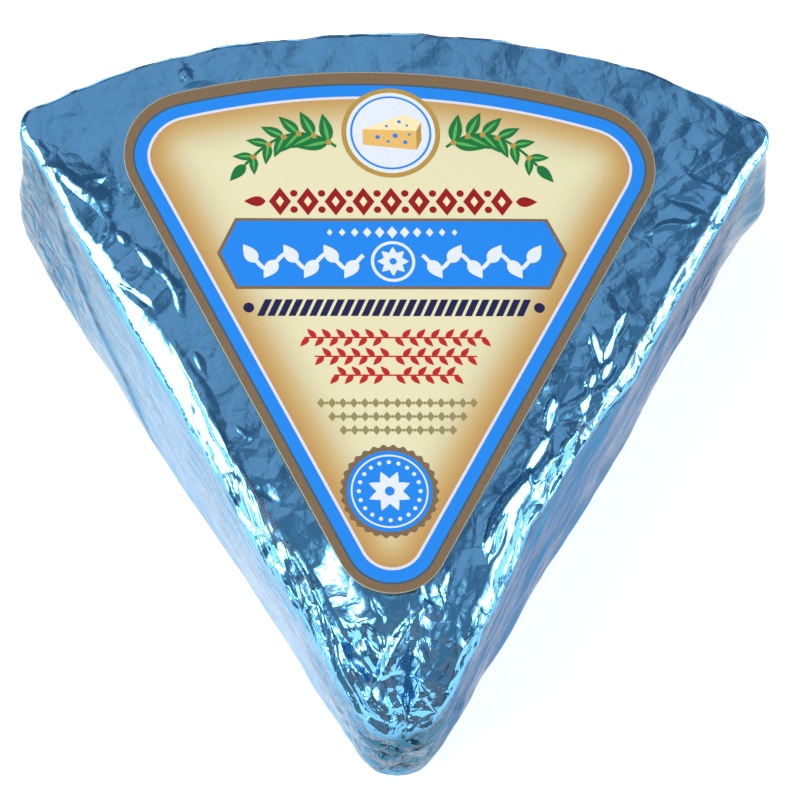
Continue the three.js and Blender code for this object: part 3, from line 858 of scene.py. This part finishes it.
# %% Foil material
FOIL_BLUE = (0.195, 0.585, 0.94)
WALL_DARK = (0.05, 0.18, 0.32)      # on the walls the blue is painted darker, painted shade, in smoky streaks
WALL_BLUE = (0.06, 0.245, 0.42)
WALL_PALE = (0.10, 0.33, 0.51)
KNOT_PAINTED_SHADE = (0.01, 0.08, 0.13)      # painted shade: the tight knot of foil at the tip and the feet of the flaps are painted darker
# the walls' colour by their smoky tone, which the painted shade of the knot and the flaps' feet pulls down
SMOKE_AND_SHADE = [(0.15, KNOT_PAINTED_SHADE), (0.36, WALL_DARK), (0.50, WALL_BLUE), (0.66, WALL_PALE)]
GLANCING = (0.84, 0.84, 0.84, 1.0)  # what the foil keeps of the light at a glancing angle
GLANCING_RIGHT_SHADE = (0.36, 0.43, 0.56, 1.0)    # and what it keeps on the right-hand wall, less: painted shade, as if the floor it mirrors lay in shade
CREASES = [
    # mark, cells to a metre, how far they are pulled, slope where the mark is 0, slope that it adds at 1
    ("loose", 210.0, 1.2, 0.035, 0.16),
    ("loose", 620.0, 1.4, 0.025, 0.05),
    ("loose", 1800.0, 1.5, 0.015, 0.02),
    ("wrinkled", 260.0, 1.3, 0.0, 1.0),
    ("wrinkled", 800.0, 1.4, 0.0, 0.2),
]
STREAKS = [
    # mark, height in metres where the mark is 1, and the noise drawn out along the sheet
    ("wall", 0.00012, {"Scale": 0.9, "Detail": 3.0, "Roughness": 0.55}),
    ("strands", 0.0013, {"Scale": 0.5, "Detail": 2.0, "Roughness": 0.5, "Distortion": 0.4}),
]


def facets(tree, vector, per_unit, pull):
    """Roofs over irregular cells: how far a point lies from the border of its cell, in cell sizes.

    The function is flat on each side of its ridges, like creased foil. The place is first pulled
    about by a noise, so that the borders bend.
    """
    cloud = noise_node(tree, vector, "Color", Scale=0.45 * per_unit, Detail=2.0)
    reach = (pull / per_unit,) * 3
    pulled = vector_node(tree, "MULTIPLY_ADD", cloud, reach, vector)
    settings = {"feature": "DISTANCE_TO_EDGE", "Scale": per_unit, "Vector": pulled}
    return add_node(tree, "ShaderNodeTexVoronoi", **settings).outputs["Distance"]


def foil_normal(tree, place, sheet):
    """The foil's bumps, one laid over the other: five sizes of facets, then two kinds of streaks."""
    normal = None
    for mark, per_metre, pull, least, added in CREASES:
        slope = math_node(tree, "MULTIPLY_ADD", mark_node(tree, mark), added, least)
        height = math_node(tree, "MULTIPLY", facets(tree, place, per_metre, pull), slope)
        normal = bump_node(tree, height, 1.0 / per_metre, normal)
    for mark, most, settings in STREAKS:
        streaks = noise_node(tree, sheet, **settings)
        height = math_node(tree, "MULTIPLY", streaks, mark_node(tree, mark))
        normal = bump_node(tree, height, most, normal)
    return normal


def foil_material():
    """Lacquered foil: bright blue metal on the top, painted darker on the walls as painted shade, in smoky
    streaks.
    """
    material, tree, shader = new_material("blue_foil")
    place, sheet = place_node(tree), mark_node(tree, "sheet", "Vector")
    # where the walls' colour is painted darker: painted shade
    painted_wall_shade = mark_node(tree, "painted_wall_shade")
    dents = noise_node(tree, place, Scale=260.0, Detail=3.0, Roughness=0.55)
    bright = ramp_node(tree, dents, (0.35, tuple(0.96 * part for part in FOIL_BLUE)), (0.65, FOIL_BLUE))
    cloud = noise_node(tree, sheet, Scale=0.35, Detail=3.0, Roughness=0.6)
    # a smoky tone at random, darkened by the painted shade of the knot and of the flaps' feet
    smoky_shade = math_node(tree, "MULTIPLY_ADD", mark_node(tree, "shaded"), -0.4, cloud)
    set_sockets(
        tree, shader,
        Metallic=1.0,
        # on the walls the bright blue gives way to the painted shade of the smoky ramp
        Base_Color=mix_node(tree, painted_wall_shade, bright, ramp_node(tree, smoky_shade, *SMOKE_AND_SHADE)),
        # painted shade on the right-hand wall at a glancing angle
        Specular_Tint=mix_node(tree, mark_node(tree, "right_wall_shade"), GLANCING, GLANCING_RIGHT_SHADE),
        Roughness=ramp_node(tree, dents, (0.3, 0.08), (0.7, 0.17)),
        # less coat where the walls are painted darker, which adds to the painted shade
        Coat_Weight=math_node(tree, "MULTIPLY_ADD", painted_wall_shade, -0.3, 0.32),
        Coat_Roughness=0.06,
        Normal=foil_normal(tree, place, sheet),
    )
    return material


blue_foil = foil_material()
foil.data.materials.append(blue_foil)
print("blue foil has", len(blue_foil.node_tree.nodes), "nodes")

# %% [markdown]
# ## The underside
#
# Underneath, the ends of the sheet are folded in one over the other: first the two long sides, then the
# rim. Each folded end is a thin closed plate a tenth of a millimetre lower than the one before, and its
# outer edge runs into the skin.

# %% Underside
def flat_plate(name, corners, low, high):
    """A thin closed plate over an outline with no inward corner, its corners anticlockwise from above."""
    plan = np.array(corners, float)
    count = len(plan)
    faces = [np.column_stack([plan, np.full(count, height)]) for height in (low, high)]
    middle = np.arange(1, count - 1)
    base = np.stack([np.zeros(count - 2, int), middle + 1, middle], -1)
    top = count + np.stack([np.zeros(count - 2, int), middle, middle + 1], -1)
    fans = np.concatenate([base, top])
    return new_piece(name, np.concatenate(faces), grid_faces(2, count), fans, smooth=False)


FOLD_RADIUS = 106.2                 # the rim's folded end begins on this arc
FOLD_HALF_ANGLE = 25.5

rim_angles = np.radians(np.linspace(FOLD_HALF_ANGLE, -FOLD_HALF_ANGLE, 13))
rim_arc = FOLD_RADIUS * np.stack([np.sin(rim_angles), np.cos(rim_angles)], -1)
for name, corners, low, high in (
    ("folded_end_rim", np.concatenate([rim_arc, [(-26.0, 74.0), (26.0, 74.0)]]), 0.05, 0.15),
    ("folded_end_right", [(7.1, 19.1), (48.6, 87.5), (-6.0, 66.0)], 0.15, 0.25),
    ("folded_end_left", [(-7.1, 19.1), (8.0, 60.0), (-48.6, 87.5)], 0.25, 0.35),
):
    end = flat_plate(name, corners, low, high)
    end.data.materials.append(blue_foil)
    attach(end, "root")
    print(name, "has", len(end.data.polygons), "faces")

# %% [markdown]
# ## The label's paper
#
# The label is coated paper stuck on the foil: a thin closed sheet that follows the slight waves of the
# top. Its printed border is a set of bands that all run parallel to the edge, so the sheet's rings sit
# exactly on the borders between the bands and each band is a material slot of its own. A float attribute
# holds how far in from the edge a point lies, and the paper's colour reads it for the amber glow.

# %% Label sheet
LABEL_LOW = WEDGE_HEIGHT + 0.3
LABEL_THICKNESS = 0.2
LABEL_AROUND = (26, 60, 22, 40)
BANDS = [
    # how far in from the edge each band begins, and its material
    (0.0, "cut_edge"),
    (0.1, "bronze"),
    (1.25, "dark_line"),
    (1.55, "blue_print"),
    (3.3, "white_print"),
]
RIM_WIDENING = 0.6                  # the inner bands lie this much further in along the rim side
WIDENING_REACH = 1.25               # over this way in from the edge the widening grows to its full size
BACK_SHARES = [0.3, 0.8, 1.0]
FIELD_INSETS = [3.7, 4.1, 4.6, 5.2, 5.9, 6.6]
FIELD_SHARES = [0.94, 0.88, 0.81, 0.74, 0.67, 0.6, 0.52, 0.44, 0.35, 0.26, 0.17, 0.08]


def label_wave(plan):
    """How far the label rises and falls: long, faint waves of the paper over the foil."""
    x, y = plan[..., 0], plan[..., 1]
    return 0.05 * np.sin(x / 9.0 + 0.7) * np.cos(y / 12.0) + 0.03 * np.sin((x + y) / 6.5)


def label_sheet():
    """The sheet: its face rings, a cut edge and a plain back, closed at the middle on both sides."""
    points, normals = label_outline(LABEL_AROUND)
    rimward = np.maximum(0, normals[:, 1:])
    insets = [band[0] for band in BANDS] + FIELD_INSETS
    widened = [RIM_WIDENING * min(1, inset / WIDENING_REACH) for inset in insets]
    face = [points - normals * (inset + wider * rimward) for inset, wider in zip(insets, widened)]
    middle = face[-1].mean(0)
    face += [middle + (face[-1] - middle) * share for share in FIELD_SHARES]
    back = [middle + (points - middle) * share for share in BACK_SHARES]
    plans = np.array(back + face)
    heights = LABEL_LOW + label_wave(plans)
    heights[len(back):] += LABEL_THICKNESS
    rings = np.concatenate([plans, heights[..., None]], -1)
    low_pole = [*middle, LABEL_LOW + float(label_wave(middle))]
    high_pole = [*middle, LABEL_LOW + float(label_wave(middle)) + LABEL_THICKNESS]
    skin = closed_skin(rings, low_pole, high_pole)
    piece = new_piece("label_sheet", *skin)
    outline = label_outline((10, 30, 12, 30))[0]
    inset = -distance_outside(skin[0][:, :2], outline)
    piece.data.attributes.new("inset", "FLOAT", "POINT").data.foreach_set("value", inset.astype(np.float32))
    return piece, len(back), plans.shape[1]


label, back_rings, label_around = label_sheet()
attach(label, "root")
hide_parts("label")
print("label sheet has", len(label.data.polygons), "faces")


# %% Label materials
def print_material(name, colour, roughness=0.38, metallic=0.0, grain=0.04):
    """A printed ink or paper coating: an even colour with a faint grain, and a fine paper bump."""
    material, tree, shader = new_material(name)
    speckle = noise_node(tree, place_node(tree), Scale=2600.0, Detail=3.0)
    low = tuple(part * (1 - grain) for part in colour)
    high = tuple(min(1.0, part * (1 + grain)) for part in colour)
    set_sockets(
        tree, shader,
        Base_Color=ramp_node(tree, speckle, (0.3, low), (0.7, high)),
        Normal=bump_node(tree, speckle, 0.00002, strength=0.12),
        Roughness=roughness,
        Metallic=metallic,
    )
    return material


AMBER_GLOW = [
    # how far in from the edge, as a share of its reach in millimetres, and the paper's colour there
    (0.23, (0.51, 0.28, 0.085)),
    (0.31, (0.55, 0.35, 0.12)),
    (0.40, (0.61, 0.45, 0.20)),
    (0.50, (0.67, 0.58, 0.34)),
    (0.63, (0.73, 0.69, 0.42)),
    (0.80, (0.77, 0.72, 0.45)),
]
GLOW_REACH = 16.0


def field_material():
    """Cream paper that deepens to amber towards the border, by how far in from the edge a point is."""
    material, tree, shader = new_material("cream_field")
    share = math_node(tree, "DIVIDE", mark_node(tree, "inset"), GLOW_REACH)
    speckle = noise_node(tree, place_node(tree), Scale=2400.0, Detail=3.0)
    glow, grain = ramp_node(tree, share, *AMBER_GLOW), ramp_node(tree, speckle, (0.3, 0.97), (0.7, 1.0))
    set_sockets(tree, shader, Base_Color=mix_node(tree, 1.0, glow, grain, "MULTIPLY"), Roughness=0.4)
    return material


materials = {
    "cut_edge": print_material("label_cut_edge", (0.40, 0.36, 0.28), roughness=0.5),
    "bronze": print_material("label_bronze", (0.29, 0.19, 0.10), roughness=0.42, metallic=0.5, grain=0.10),
    "dark_line": print_material("label_dark_line", (0.05, 0.10, 0.13)),
    "blue_print": print_material("label_blue", (0.009, 0.225, 0.76)),
    "white_print": print_material("label_white", (0.70, 0.69, 0.76)),
    "field": field_material(),
}
for material in materials.values():
    label.data.materials.append(material)


def paint_bands():
    """Gives each face of the label its slot: the band between the two rings that the face joins."""
    names = list(materials)
    slots = np.full(len(label.data.polygons), names.index("field"), np.int32)
    for row, name in enumerate(["cut_edge"] + [band[1] for band in BANDS], back_rings - 1):
        slots[row * label_around:(row + 1) * label_around] = names.index(name)
    label.data.polygons.foreach_set("material_index", slots)
    print({name: int((slots == slot).sum()) for slot, name in enumerate(names)}, "faces of each")


paint_bands()

# %% [markdown]
# ## Ink as thin plates
#
# Print could be a picture, but a picture is soft at any size. Here every motif is a thin closed plate a
# few hundredths of a millimetre thick, like raised ink, so its edge stays crisp. A motif is one square
# grid bent into shape: a disc, a leaf, a lozenge, a bar, a stem. All plates of one ink are joined into
# one mesh. Colours that lie over one another are a layer apart.

# %% Ink plates
INK_SUNK = 0.03
INK_LAYER = 0.018
PRINT_MIDDLE = np.array([-1.1, 73.6])
PRINT_TURN = np.radians(0.25)
inks = {}


def on_paper(points):
    """From the print's own measure, level and round the middle of its plaque, to the wedge's plan."""
    cos, sin = np.cos(PRINT_TURN), np.sin(PRINT_TURN)
    return points @ np.array([[cos, sin], [-sin, cos]]) + PRINT_MIDDLE


def ink(colour, grid, at=(0.0, 0.0), angle=0.0, layer=1):
    """Adds a motif to an ink: the grid is turned by an angle in degrees, then moved."""
    cos, sin = np.cos(np.radians(angle)), np.sin(np.radians(angle))
    turned = grid @ np.array([[cos, sin], [-sin, cos]]) + np.array(at)
    inks.setdefault(colour, []).append((turned, layer))


def grid_quads(index):
    """The four corners of every face of a grid of point numbers."""
    return np.stack([index[:-1, :-1], index[:-1, 1:], index[1:, 1:], index[1:, :-1]], -1).reshape(-1, 4)


def thin_plate(grid, layer, first):
    """A grid as a closed plate: its points above and below, then the top, the back and the border."""
    rows, columns, _ = grid.shape
    plan = on_paper(grid).reshape(-1, 2)
    paper = LABEL_LOW + LABEL_THICKNESS + label_wave(plan)
    top = np.column_stack([plan, paper + layer * INK_LAYER])
    back = np.column_stack([plan, paper - INK_SUNK])
    index = np.arange(rows * columns).reshape(rows, columns)
    quads = grid_quads(index)
    (ax, ay), (bx, by) = ((plan[quads[:, corner]] - plan[quads[:, 0]]).T for corner in (1, 3))
    if (ax * by - ay * bx).sum() < 0:      # the grid runs the other way round, so its faces look down
        index = index[:, ::-1]
        quads = grid_quads(index)
    border = np.concatenate([index[0, :-1], index[:-1, -1], index[-1, :0:-1], index[:0:-1, 0]])
    ahead = np.roll(border, -1)
    lower = rows * columns
    walls = np.stack([border, border + lower, ahead + lower, ahead], -1)
    faces = np.concatenate([quads, quads[:, ::-1] + lower, walls]) + first
    return np.concatenate([top, back]), faces


def ink_piece(name, motifs):
    """All plates of one ink as one mesh."""
    points, faces, count = [], [], 0
    for grid, layer in motifs:
        plate_points, plate_faces = thin_plate(grid, layer, count)
        points.append(plate_points)
        faces.append(plate_faces)
        count += len(plate_points)
    return new_piece(name, np.concatenate(points), np.concatenate(faces), smooth=False)


# %% Motifs
def square(count, across=None):
    """A grid of places from -1 to 1 both ways."""
    one = np.linspace(-1, 1, count)
    two = np.linspace(-1, 1, across or count)
    return np.stack(np.meshgrid(one, two, indexing="ij"), -1)


def disc(radius, count=7, scallops=0, depth=0.0):
    """A square grid rounded into a disc: each side of the square is eased on to the circle."""
    grid = square(count)
    x, y = grid[..., 0], grid[..., 1]
    round_grid = np.stack([x * np.sqrt(1 - y * y / 2), y * np.sqrt(1 - x * x / 2)], -1)
    angle = np.arctan2(round_grid[..., 1], round_grid[..., 0])
    reach = np.linalg.norm(round_grid, axis=-1)
    wave = 1 + depth / radius * np.cos(scallops * angle) * reach**8
    return radius * wave[..., None] * round_grid


def leaf(length, width, count=8):
    """A leaf from its stalk at (0, 0) along +x: its half width is a sine that leans to the stalk."""
    grid = square(count, 3)
    along = (grid[..., 0] + 1) / 2
    half = 0.02 + width / 2 * np.sin(np.pi * along**0.75) * np.where(along < 1, 1, 0)
    return np.stack([along * length, grid[..., 1] * half], -1)


def lozenge(width, height):
    """A square stood on its corner and drawn out to a width and a height."""
    grid = square(3)
    x, y = grid[..., 0], grid[..., 1]
    return np.stack([(x - y) * width / 4, (x + y) * height / 4], -1)


def bar(width, height, slant):
    """An upright bar whose top leans over by the slant."""
    grid = square(2)
    return np.stack([grid[..., 0] * width / 2 + grid[..., 1] * slant / 2, grid[..., 1] * height / 2], -1)


def stem(path, width):
    """A strip of even width along a path of points."""
    way = np.gradient(path, axis=0)
    way /= np.linalg.norm(way, axis=1)[:, None]
    side = np.stack([-way[:, 1], way[:, 0]], -1) * width / 2
    return np.stack([path - side, path + side], 1)


def patch(corners, count=4):
    """A four-cornered field of straight sides, given by its corners in order."""
    a, b, c, d = (np.array(corner) for corner in corners)
    grid = (square(count) + 1) / 2
    x, y = grid[..., :1], grid[..., 1:]
    return (1 - x) * (1 - y) * a + x * (1 - y) * b + x * y * c + (1 - x) * y * d


def plaque(half_width, half_height, point):
    """A long field whose two ends come to a blunt point."""
    grid = square(41, 7)
    x, y = grid[..., 0], grid[..., 1]
    return np.stack([x * (half_width + point * (1 - np.abs(y))), y * half_height], -1)


# %% [markdown]
# ## A plain dairy label
#
# The design says cheese without a word: a medallion with a cut wedge between two sprays of leaves, a
# chain of lozenges, a blue plaque with a white vine, a row of twisted cord, rows of small leaves and
# diamonds, and a scalloped seal with a rosette. Each row is a short function with its height and width.

# %% Medallion and sprays
MEDALLION = np.array([0.25, 18.7])
MEDALLION_DISCS = [("gold", 7.0), ("white", 6.3), ("blue", 5.75), ("white", 5.45)]
VEINS = [
    # x, y and radius of the cheese's blue spots: five on the cut side, three on its top
    (-1.9, -0.7, 0.32), (-0.4, -1.4, 0.22), (0.6, -0.5, 0.36), (2.0, -1.5, 0.30), (2.6, -0.3, 0.2),
    (-0.6, 1.0, 0.2), (1.2, 1.7, 0.26), (2.3, 1.1, 0.18),
]


def medallion():
    """Gold rim, white field, thin blue ring and a wedge with blue veins."""
    for layer, (colour, radius) in enumerate(MEDALLION_DISCS, 1):
        ink(colour, disc(radius, 15), MEDALLION, layer=layer)
    tip, front, back = (-4.0, 0.5), (3.6, 0.3), (2.1, 2.9)
    low_tip, low_front = (-4.0, -1.9), (3.6, -2.7)
    rim, low_rim = (4.3, 1.6), (4.3, -1.2)
    ink("amber", patch((low_tip, low_front, front, tip)), MEDALLION, layer=5)
    ink("gold", patch((low_front, low_rim, rim, front)), MEDALLION, layer=5)
    ink("butter", patch((tip, front, rim, back)), MEDALLION, layer=5)
    for x, y, size in VEINS:
        ink("blue", disc(size, 5), MEDALLION + (x, y), layer=6)


def spray(side):
    """A stem that bows out and down from the medallion, with pairs of leaves that shrink along it."""
    share = np.linspace(0, 1, 25)[:, None]
    start, bow, end = (np.array(point) for point in ((7.8, -2.2), (14.0, 3.0), (20.6, -5.0)))
    path = (1 - share) ** 2 * start + 2 * share * (1 - share) * bow + share**2 * end
    path = path * (side, 1) + MEDALLION
    ink("green", stem(path, 0.4), layer=1)
    way = np.gradient(path, axis=0)
    for place in range(2, 24, 4):
        heading = np.degrees(np.arctan2(way[place, 1], way[place, 0]))
        length = 4.6 - 0.08 * place
        for lean in (-46, 46):
            layer = 2.0 + 0.2 * (place % 3) + 0.1 * (lean > 0)
            ink("green", leaf(length, 0.42 * length), path[place], heading + lean, layer)
            ink("pale_green", leaf(0.78 * length, 0.1 * length), path[place], heading + lean, layer=3)
        ink("gold", disc(0.42, 5), path[place] + (0.0, -0.1), layer=4)
    heading = np.degrees(np.arctan2(way[-1, 1], way[-1, 0]))
    ink("green", leaf(3.4, 1.5), path[-1], heading, layer=2)


medallion()
spray(-1)
spray(1)
print(sum(len(motifs) for motifs in inks.values()), "motifs in the medallion and its sprays")

# %% Rows of ornament
LOZENGE_ROW = 8.0
CORD_ROW = -8.2
LEAF_ROWS = ((-12.7, 12.6), (-15.5, 11.2), (-18.3, 8.6))
DIAMOND_ROWS = ((-22.4, 11.4), (-24.4, 9.5), (-26.4, 7.6))


def lozenge_chain():
    """Tall lozenges and paired dots by turns, with a leaf at either end."""
    for step in range(-4, 5):
        x = 3.9 * step
        ink("dark_red", lozenge(3.1, 4.3), (x, LOZENGE_ROW))
        ink("butter", lozenge(1.1, 1.6), (x, LOZENGE_ROW), layer=2)
    for step in range(-4, 4):
        x = 3.9 * (step + 0.5)
        for rise in (-1.25, 1.25):
            ink("dark_red", disc(0.52, 5), (x, LOZENGE_ROW + rise))
    for side in (-1, 1):
        ink("dark_red", leaf(3.0, 1.5), (17.6 * side, LOZENGE_ROW), 90 - 90 * side)


def vine_plaque():
    """The blue plaque in its bronze line, a white vine with leaves and, above it, a row of drops."""
    ink("bronze", plaque(21.9, 5.4, 2.6))
    ink("blue", plaque(21.6, 4.95, 2.35), layer=2)
    x = np.linspace(-20.6, 20.6, 121)
    vine = -1.2
    for side in (-1, 1):
        half = x[x * side > 3.9]
        wave = np.stack([half, vine + 1.15 * np.cos(2 * np.pi * (np.abs(half) - 3.6) / 5.6)], -1)
        ink("white", stem(wave, 0.6), layer=3)
        for turn in range(6):
            over = 1 if turn % 2 else -1
            at = (side * (5.0 + 2.8 * turn), vine - 0.2 * over)
            heading = 90 * (1 - side) + side * over * 56
            ink("white", leaf(3.3, 1.9), at, heading, layer=3.3 + 0.3 * (turn % 2))
    ink("white", disc(3.1, 13), (0, vine), layer=3)
    ink("blue", disc(2.65, 13), (0, vine), layer=4)
    for petal in range(8):
        ink("white", leaf(2.2, 1.15), (0, vine), 45 * petal, layer=5 + 0.3 * (petal % 2))
    ink("blue", disc(0.5, 7), (0, vine), layer=6)
    for step in range(-5, 6):
        size = 1.85 - 0.17 * abs(step)
        ink("white", lozenge(0.8 * size, size), (1.75 * step, 3.25), layer=3)


def twisted_cord():
    """Slanted bars side by side, like the strands of a cord, between two round ends."""
    for step in range(26):
        ink("navy", bar(0.98, 2.5, 1.15), (1.44 * (step - 12.5), CORD_ROW))
    for side in (-1, 1):
        ink("navy", disc(0.75, 7), (20.2 * side, CORD_ROW))


def leaf_rows():
    """Rows of small leaves that lean to either side by turns along a fine stem."""
    for row, half in LEAF_ROWS:
        ink("red", stem(np.array([[x, row] for x in np.linspace(-half, half, 13)]), 0.22))
        count = int(half / 1.05)
        for step in range(-count, count + 1):
            side = 1 if step >= 0 else -1
            over = 1 if step % 2 else -1
            heading = 90 * (1 - side) + side * over * 48
            ink("red", leaf(1.75, 0.78), (1.0 * step, row), heading, layer=1.3)


def diamond_rows():
    """Rows of small diamonds with a dot between each two."""
    for row, half in DIAMOND_ROWS:
        count = int(half / 1.5)
        for step in range(-count, count + 1):
            ink("olive", lozenge(1.12, 1.45), (1.5 * step, row))
        for step in range(-count, count):
            ink("olive", disc(0.22, 4), (1.5 * (step + 0.5), row))


lozenge_chain()
vine_plaque()
twisted_cord()
leaf_rows()
diamond_rows()
print(sum(len(motifs) for motifs in inks.values()), "motifs with the rows")

# %% Seal
SEAL = np.array([-1.45, -35.3])


def seal():
    """A scalloped bronze disc with a blue field, a fine ring, a wreath of dots and a rosette."""
    ink("bronze", disc(6.6, 41, scallops=30, depth=0.2), SEAL)
    ink("blue", disc(5.85, 15), SEAL, layer=2)
    ink("white", disc(5.3, 15), SEAL, layer=3)
    ink("blue", disc(5.05, 15), SEAL, layer=4)
    for turn in range(20):
        angle = np.radians(18 * turn)
        ink("white", disc(0.29, 5), SEAL + 4.2 * np.array([np.cos(angle), np.sin(angle)]), layer=5)
    for petal in range(8):
        ink("white", leaf(3.0, 1.45), SEAL, 45 * petal + 22.5, layer=5 + 0.3 * (petal % 2))
    ink("blue", disc(0.66, 7), SEAL, layer=6)


seal()
print({colour: len(motifs) for colour, motifs in inks.items()})

# %% Ink colours
INK_COLOURS = {
    "white": (0.74, 0.78, 0.84),
    "blue": (0.009, 0.225, 0.76),
    "green": (0.004, 0.17, 0.035),
    "pale_green": (0.10, 0.42, 0.09),
    "dark_red": (0.30, 0.002, 0.004),
    "red": (0.50, 0.012, 0.010),
    "navy": (0.007, 0.009, 0.060),
    "olive": (0.30, 0.25, 0.10),
    "amber": (0.78, 0.48, 0.13),
    "butter": (0.90, 0.76, 0.42),
}
for colour, rgb in INK_COLOURS.items():
    materials[colour] = print_material("ink_" + colour, rgb, roughness=0.34)
materials["gold"] = print_material(
    "ink_gold", (0.58, 0.36, 0.07), roughness=0.36, metallic=0.35, grain=0.08
)

for colour, motifs in inks.items():
    piece = ink_piece("print_" + colour, motifs)
    piece.data.materials.append(materials[colour])
    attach(piece, "root")
    print(piece.name, len(piece.data.polygons), "faces")

# %% [markdown]
# ## Studio
#
# A mirror shows the room, so the studio is part of the foil's look. The flat top mirrors the sky at
# about 67 degrees behind the rim and wants an even, middling patch there. Two very bright soft boxes,
# low on the left and on the right, catch the rounded edges and every tilted facet. The rest of the room
# is dim, so that grooves stay dark, with two faint glows on the tip's side for the facets that face it,
# and the pale floor lights the walls from below.

# %% Floor
FLOOR_SIZE = 1.6
FLOOR_DROP = 0.00005                # the floor lies this far under the pack, so that the two don't touch
FLOOR_ROWS = 9


def floor():
    """A pale floor with a faint mottle, which glows a little so that it lights the walls from below."""
    grid = np.linspace(-FLOOR_SIZE / 2, FLOOR_SIZE / 2, FLOOR_ROWS)
    x, y = np.meshgrid(grid, grid)
    mesh = bpy.data.meshes.new("floor")
    points = np.stack([x, y, 0 * x - FLOOR_DROP], -1).reshape(-1, 3)
    mesh.from_pydata(points.tolist(), [], grid_faces(FLOOR_ROWS, FLOOR_ROWS, closed=False).tolist())
    piece = bpy.data.objects.new("floor", mesh)
    bpy.context.scene.collection.objects.link(piece)
    material, tree, shader = new_material("pale_floor")
    mottle = noise_node(tree, place_node(tree), Scale=30.0, Detail=4.0)
    set_sockets(
        tree, shader,
        Base_Color=ramp_node(tree, mottle, (0.3, 0.90), (0.7, 0.92)),
        Roughness=0.6,
        Emission_Color=(1.0, 0.95, 0.89, 1.0),
        Emission_Strength=0.46,
    )
    mesh.materials.append(material)
    return piece


floor()
print("floor of", FLOOR_SIZE, "m")


# %% Soft boxes
def direction(azimuth, elevation):
    """A unit vector; azimuth 0 is +Y, behind the rim, and grows towards +X."""
    azimuth, elevation = np.radians([azimuth, elevation])
    level = np.cos(elevation)
    return Vector((np.sin(azimuth) * level, np.cos(azimuth) * level, np.sin(elevation)))


def soft_box(name, azimuth, elevation, width, height, radiance, distance=0.9):
    """A rectangular area light that faces the pack; its power gives it the stated radiance."""
    light = bpy.data.lights.new(name, "AREA")
    light.shape = "RECTANGLE"
    light.size, light.size_y = width, height
    light.energy = radiance * np.pi * width * height
    lamp = bpy.data.objects.new(name, light)
    toward = direction(azimuth, elevation)
    lamp.location = toward * distance
    lamp.rotation_euler = toward.to_track_quat("Z", "Y").to_euler()
    bpy.context.scene.collection.objects.link(lamp)
    print(name, "gives", round(light.energy, 2), "W")


soft_box("box_left", -98, 33, 0.76, 0.56, 5.2)
soft_box("box_right", 96, 32, 0.62, 0.42, 4.9)

# %% Room
NEUTRAL = (1.0, 1.0, 1.0)
GLOWS = [
    # azimuth, elevation, colour, then the strength at shrinking angles, by the cosine of the angle
    (0, 90, (0.52, 0.72, 1.0), [(0.0, 0.17), (1.0, 0.17)]),
    (-15, 58, (1.0, 0.88, 0.96), [(0.45, 0.0), (0.90, 0.03), (0.94, 0.15), (0.96, 0.31), (1.0, 0.40)]),
    (180, 62, (0.72, 0.88, 1.0), [(0.60, 0.0), (0.85, 0.10), (1.0, 0.13)]),
    (178, 20, (0.9, 0.32, 0.14), [(0.80, 0.0), (0.90, 0.22), (1.0, 0.35)]),
    (-98, 36, NEUTRAL, [(0.76, 0.0), (0.87, 0.35), (0.94, 1.3), (1.0, 1.6)]),
    (96, 34, NEUTRAL, [(0.78, 0.0), (0.89, 0.35), (0.95, 1.2), (1.0, 1.5)]),
]


def room():
    """A dim room: each glow is a colour on a ramp over the cosine of the angle from its middle."""
    world = bpy.data.worlds.new("dim_room")
    world.use_nodes = True
    tree = world.node_tree
    ray = add_node(tree, "ShaderNodeTexCoord").outputs["Generated"]
    total = (0.0, 0.0, 0.0)
    for azimuth, elevation, colour, stops in GLOWS:
        cosine = vector_node(tree, "DOT_PRODUCT", ray, direction(azimuth, elevation), output="Value")
        lit = [(position, tuple(strength * part for part in colour)) for position, strength in stops]
        total = vector_node(tree, "ADD", ramp_node(tree, cosine, *lit), total)
    set_sockets(tree, tree.nodes["Background"], Color=total)
    bpy.context.scene.world = world


room()
print(len(GLOWS), "glows in the room")

# %% Camera
CAMERA_AZIMUTH = np.radians(-11.57)
CAMERA_ELEVATION = np.radians(67.66)
CAMERA_ROLL = np.radians(10.95)
CAMERA_DISTANCE = 0.51336
CAMERA_TARGET = Vector(((0.016 + ORIGIN[0]) * MM, (59.73 + ORIGIN[1]) * MM, 0.016))
FOCAL_PIXELS = 3600.0
PICTURE_PIXELS = 788.0


def camera():
    """The camera looks down on the pack from the side of its tip, turned a little about its own axis."""
    lens = bpy.data.cameras.new("camera")
    lens.sensor_width = 36.0
    lens.lens = lens.sensor_width * FOCAL_PIXELS / PICTURE_PIXELS
    eye = bpy.data.objects.new("camera", lens)
    az, el, roll = CAMERA_AZIMUTH, CAMERA_ELEVATION, CAMERA_ROLL
    back = Vector((np.sin(az) * np.cos(el), -np.cos(az) * np.cos(el), np.sin(el)))
    level = Vector((np.cos(az), np.sin(az), 0.0))
    above = back.cross(level)
    right = level * np.cos(roll) + above * np.sin(roll)
    up = above * np.cos(roll) - level * np.sin(roll)
    place = CAMERA_TARGET + back * CAMERA_DISTANCE
    columns = Matrix((right, up, back)).transposed().to_4x4()
    eye.matrix_world = Matrix.Translation(place) @ columns
    bpy.context.scene.collection.objects.link(eye)
    bpy.context.scene.camera = eye
    print("camera", round(place.z, 2), "m above the floor, lens", round(lens.lens, 1), "mm")


camera()
bpy.context.scene.view_settings.view_transform = "Standard"
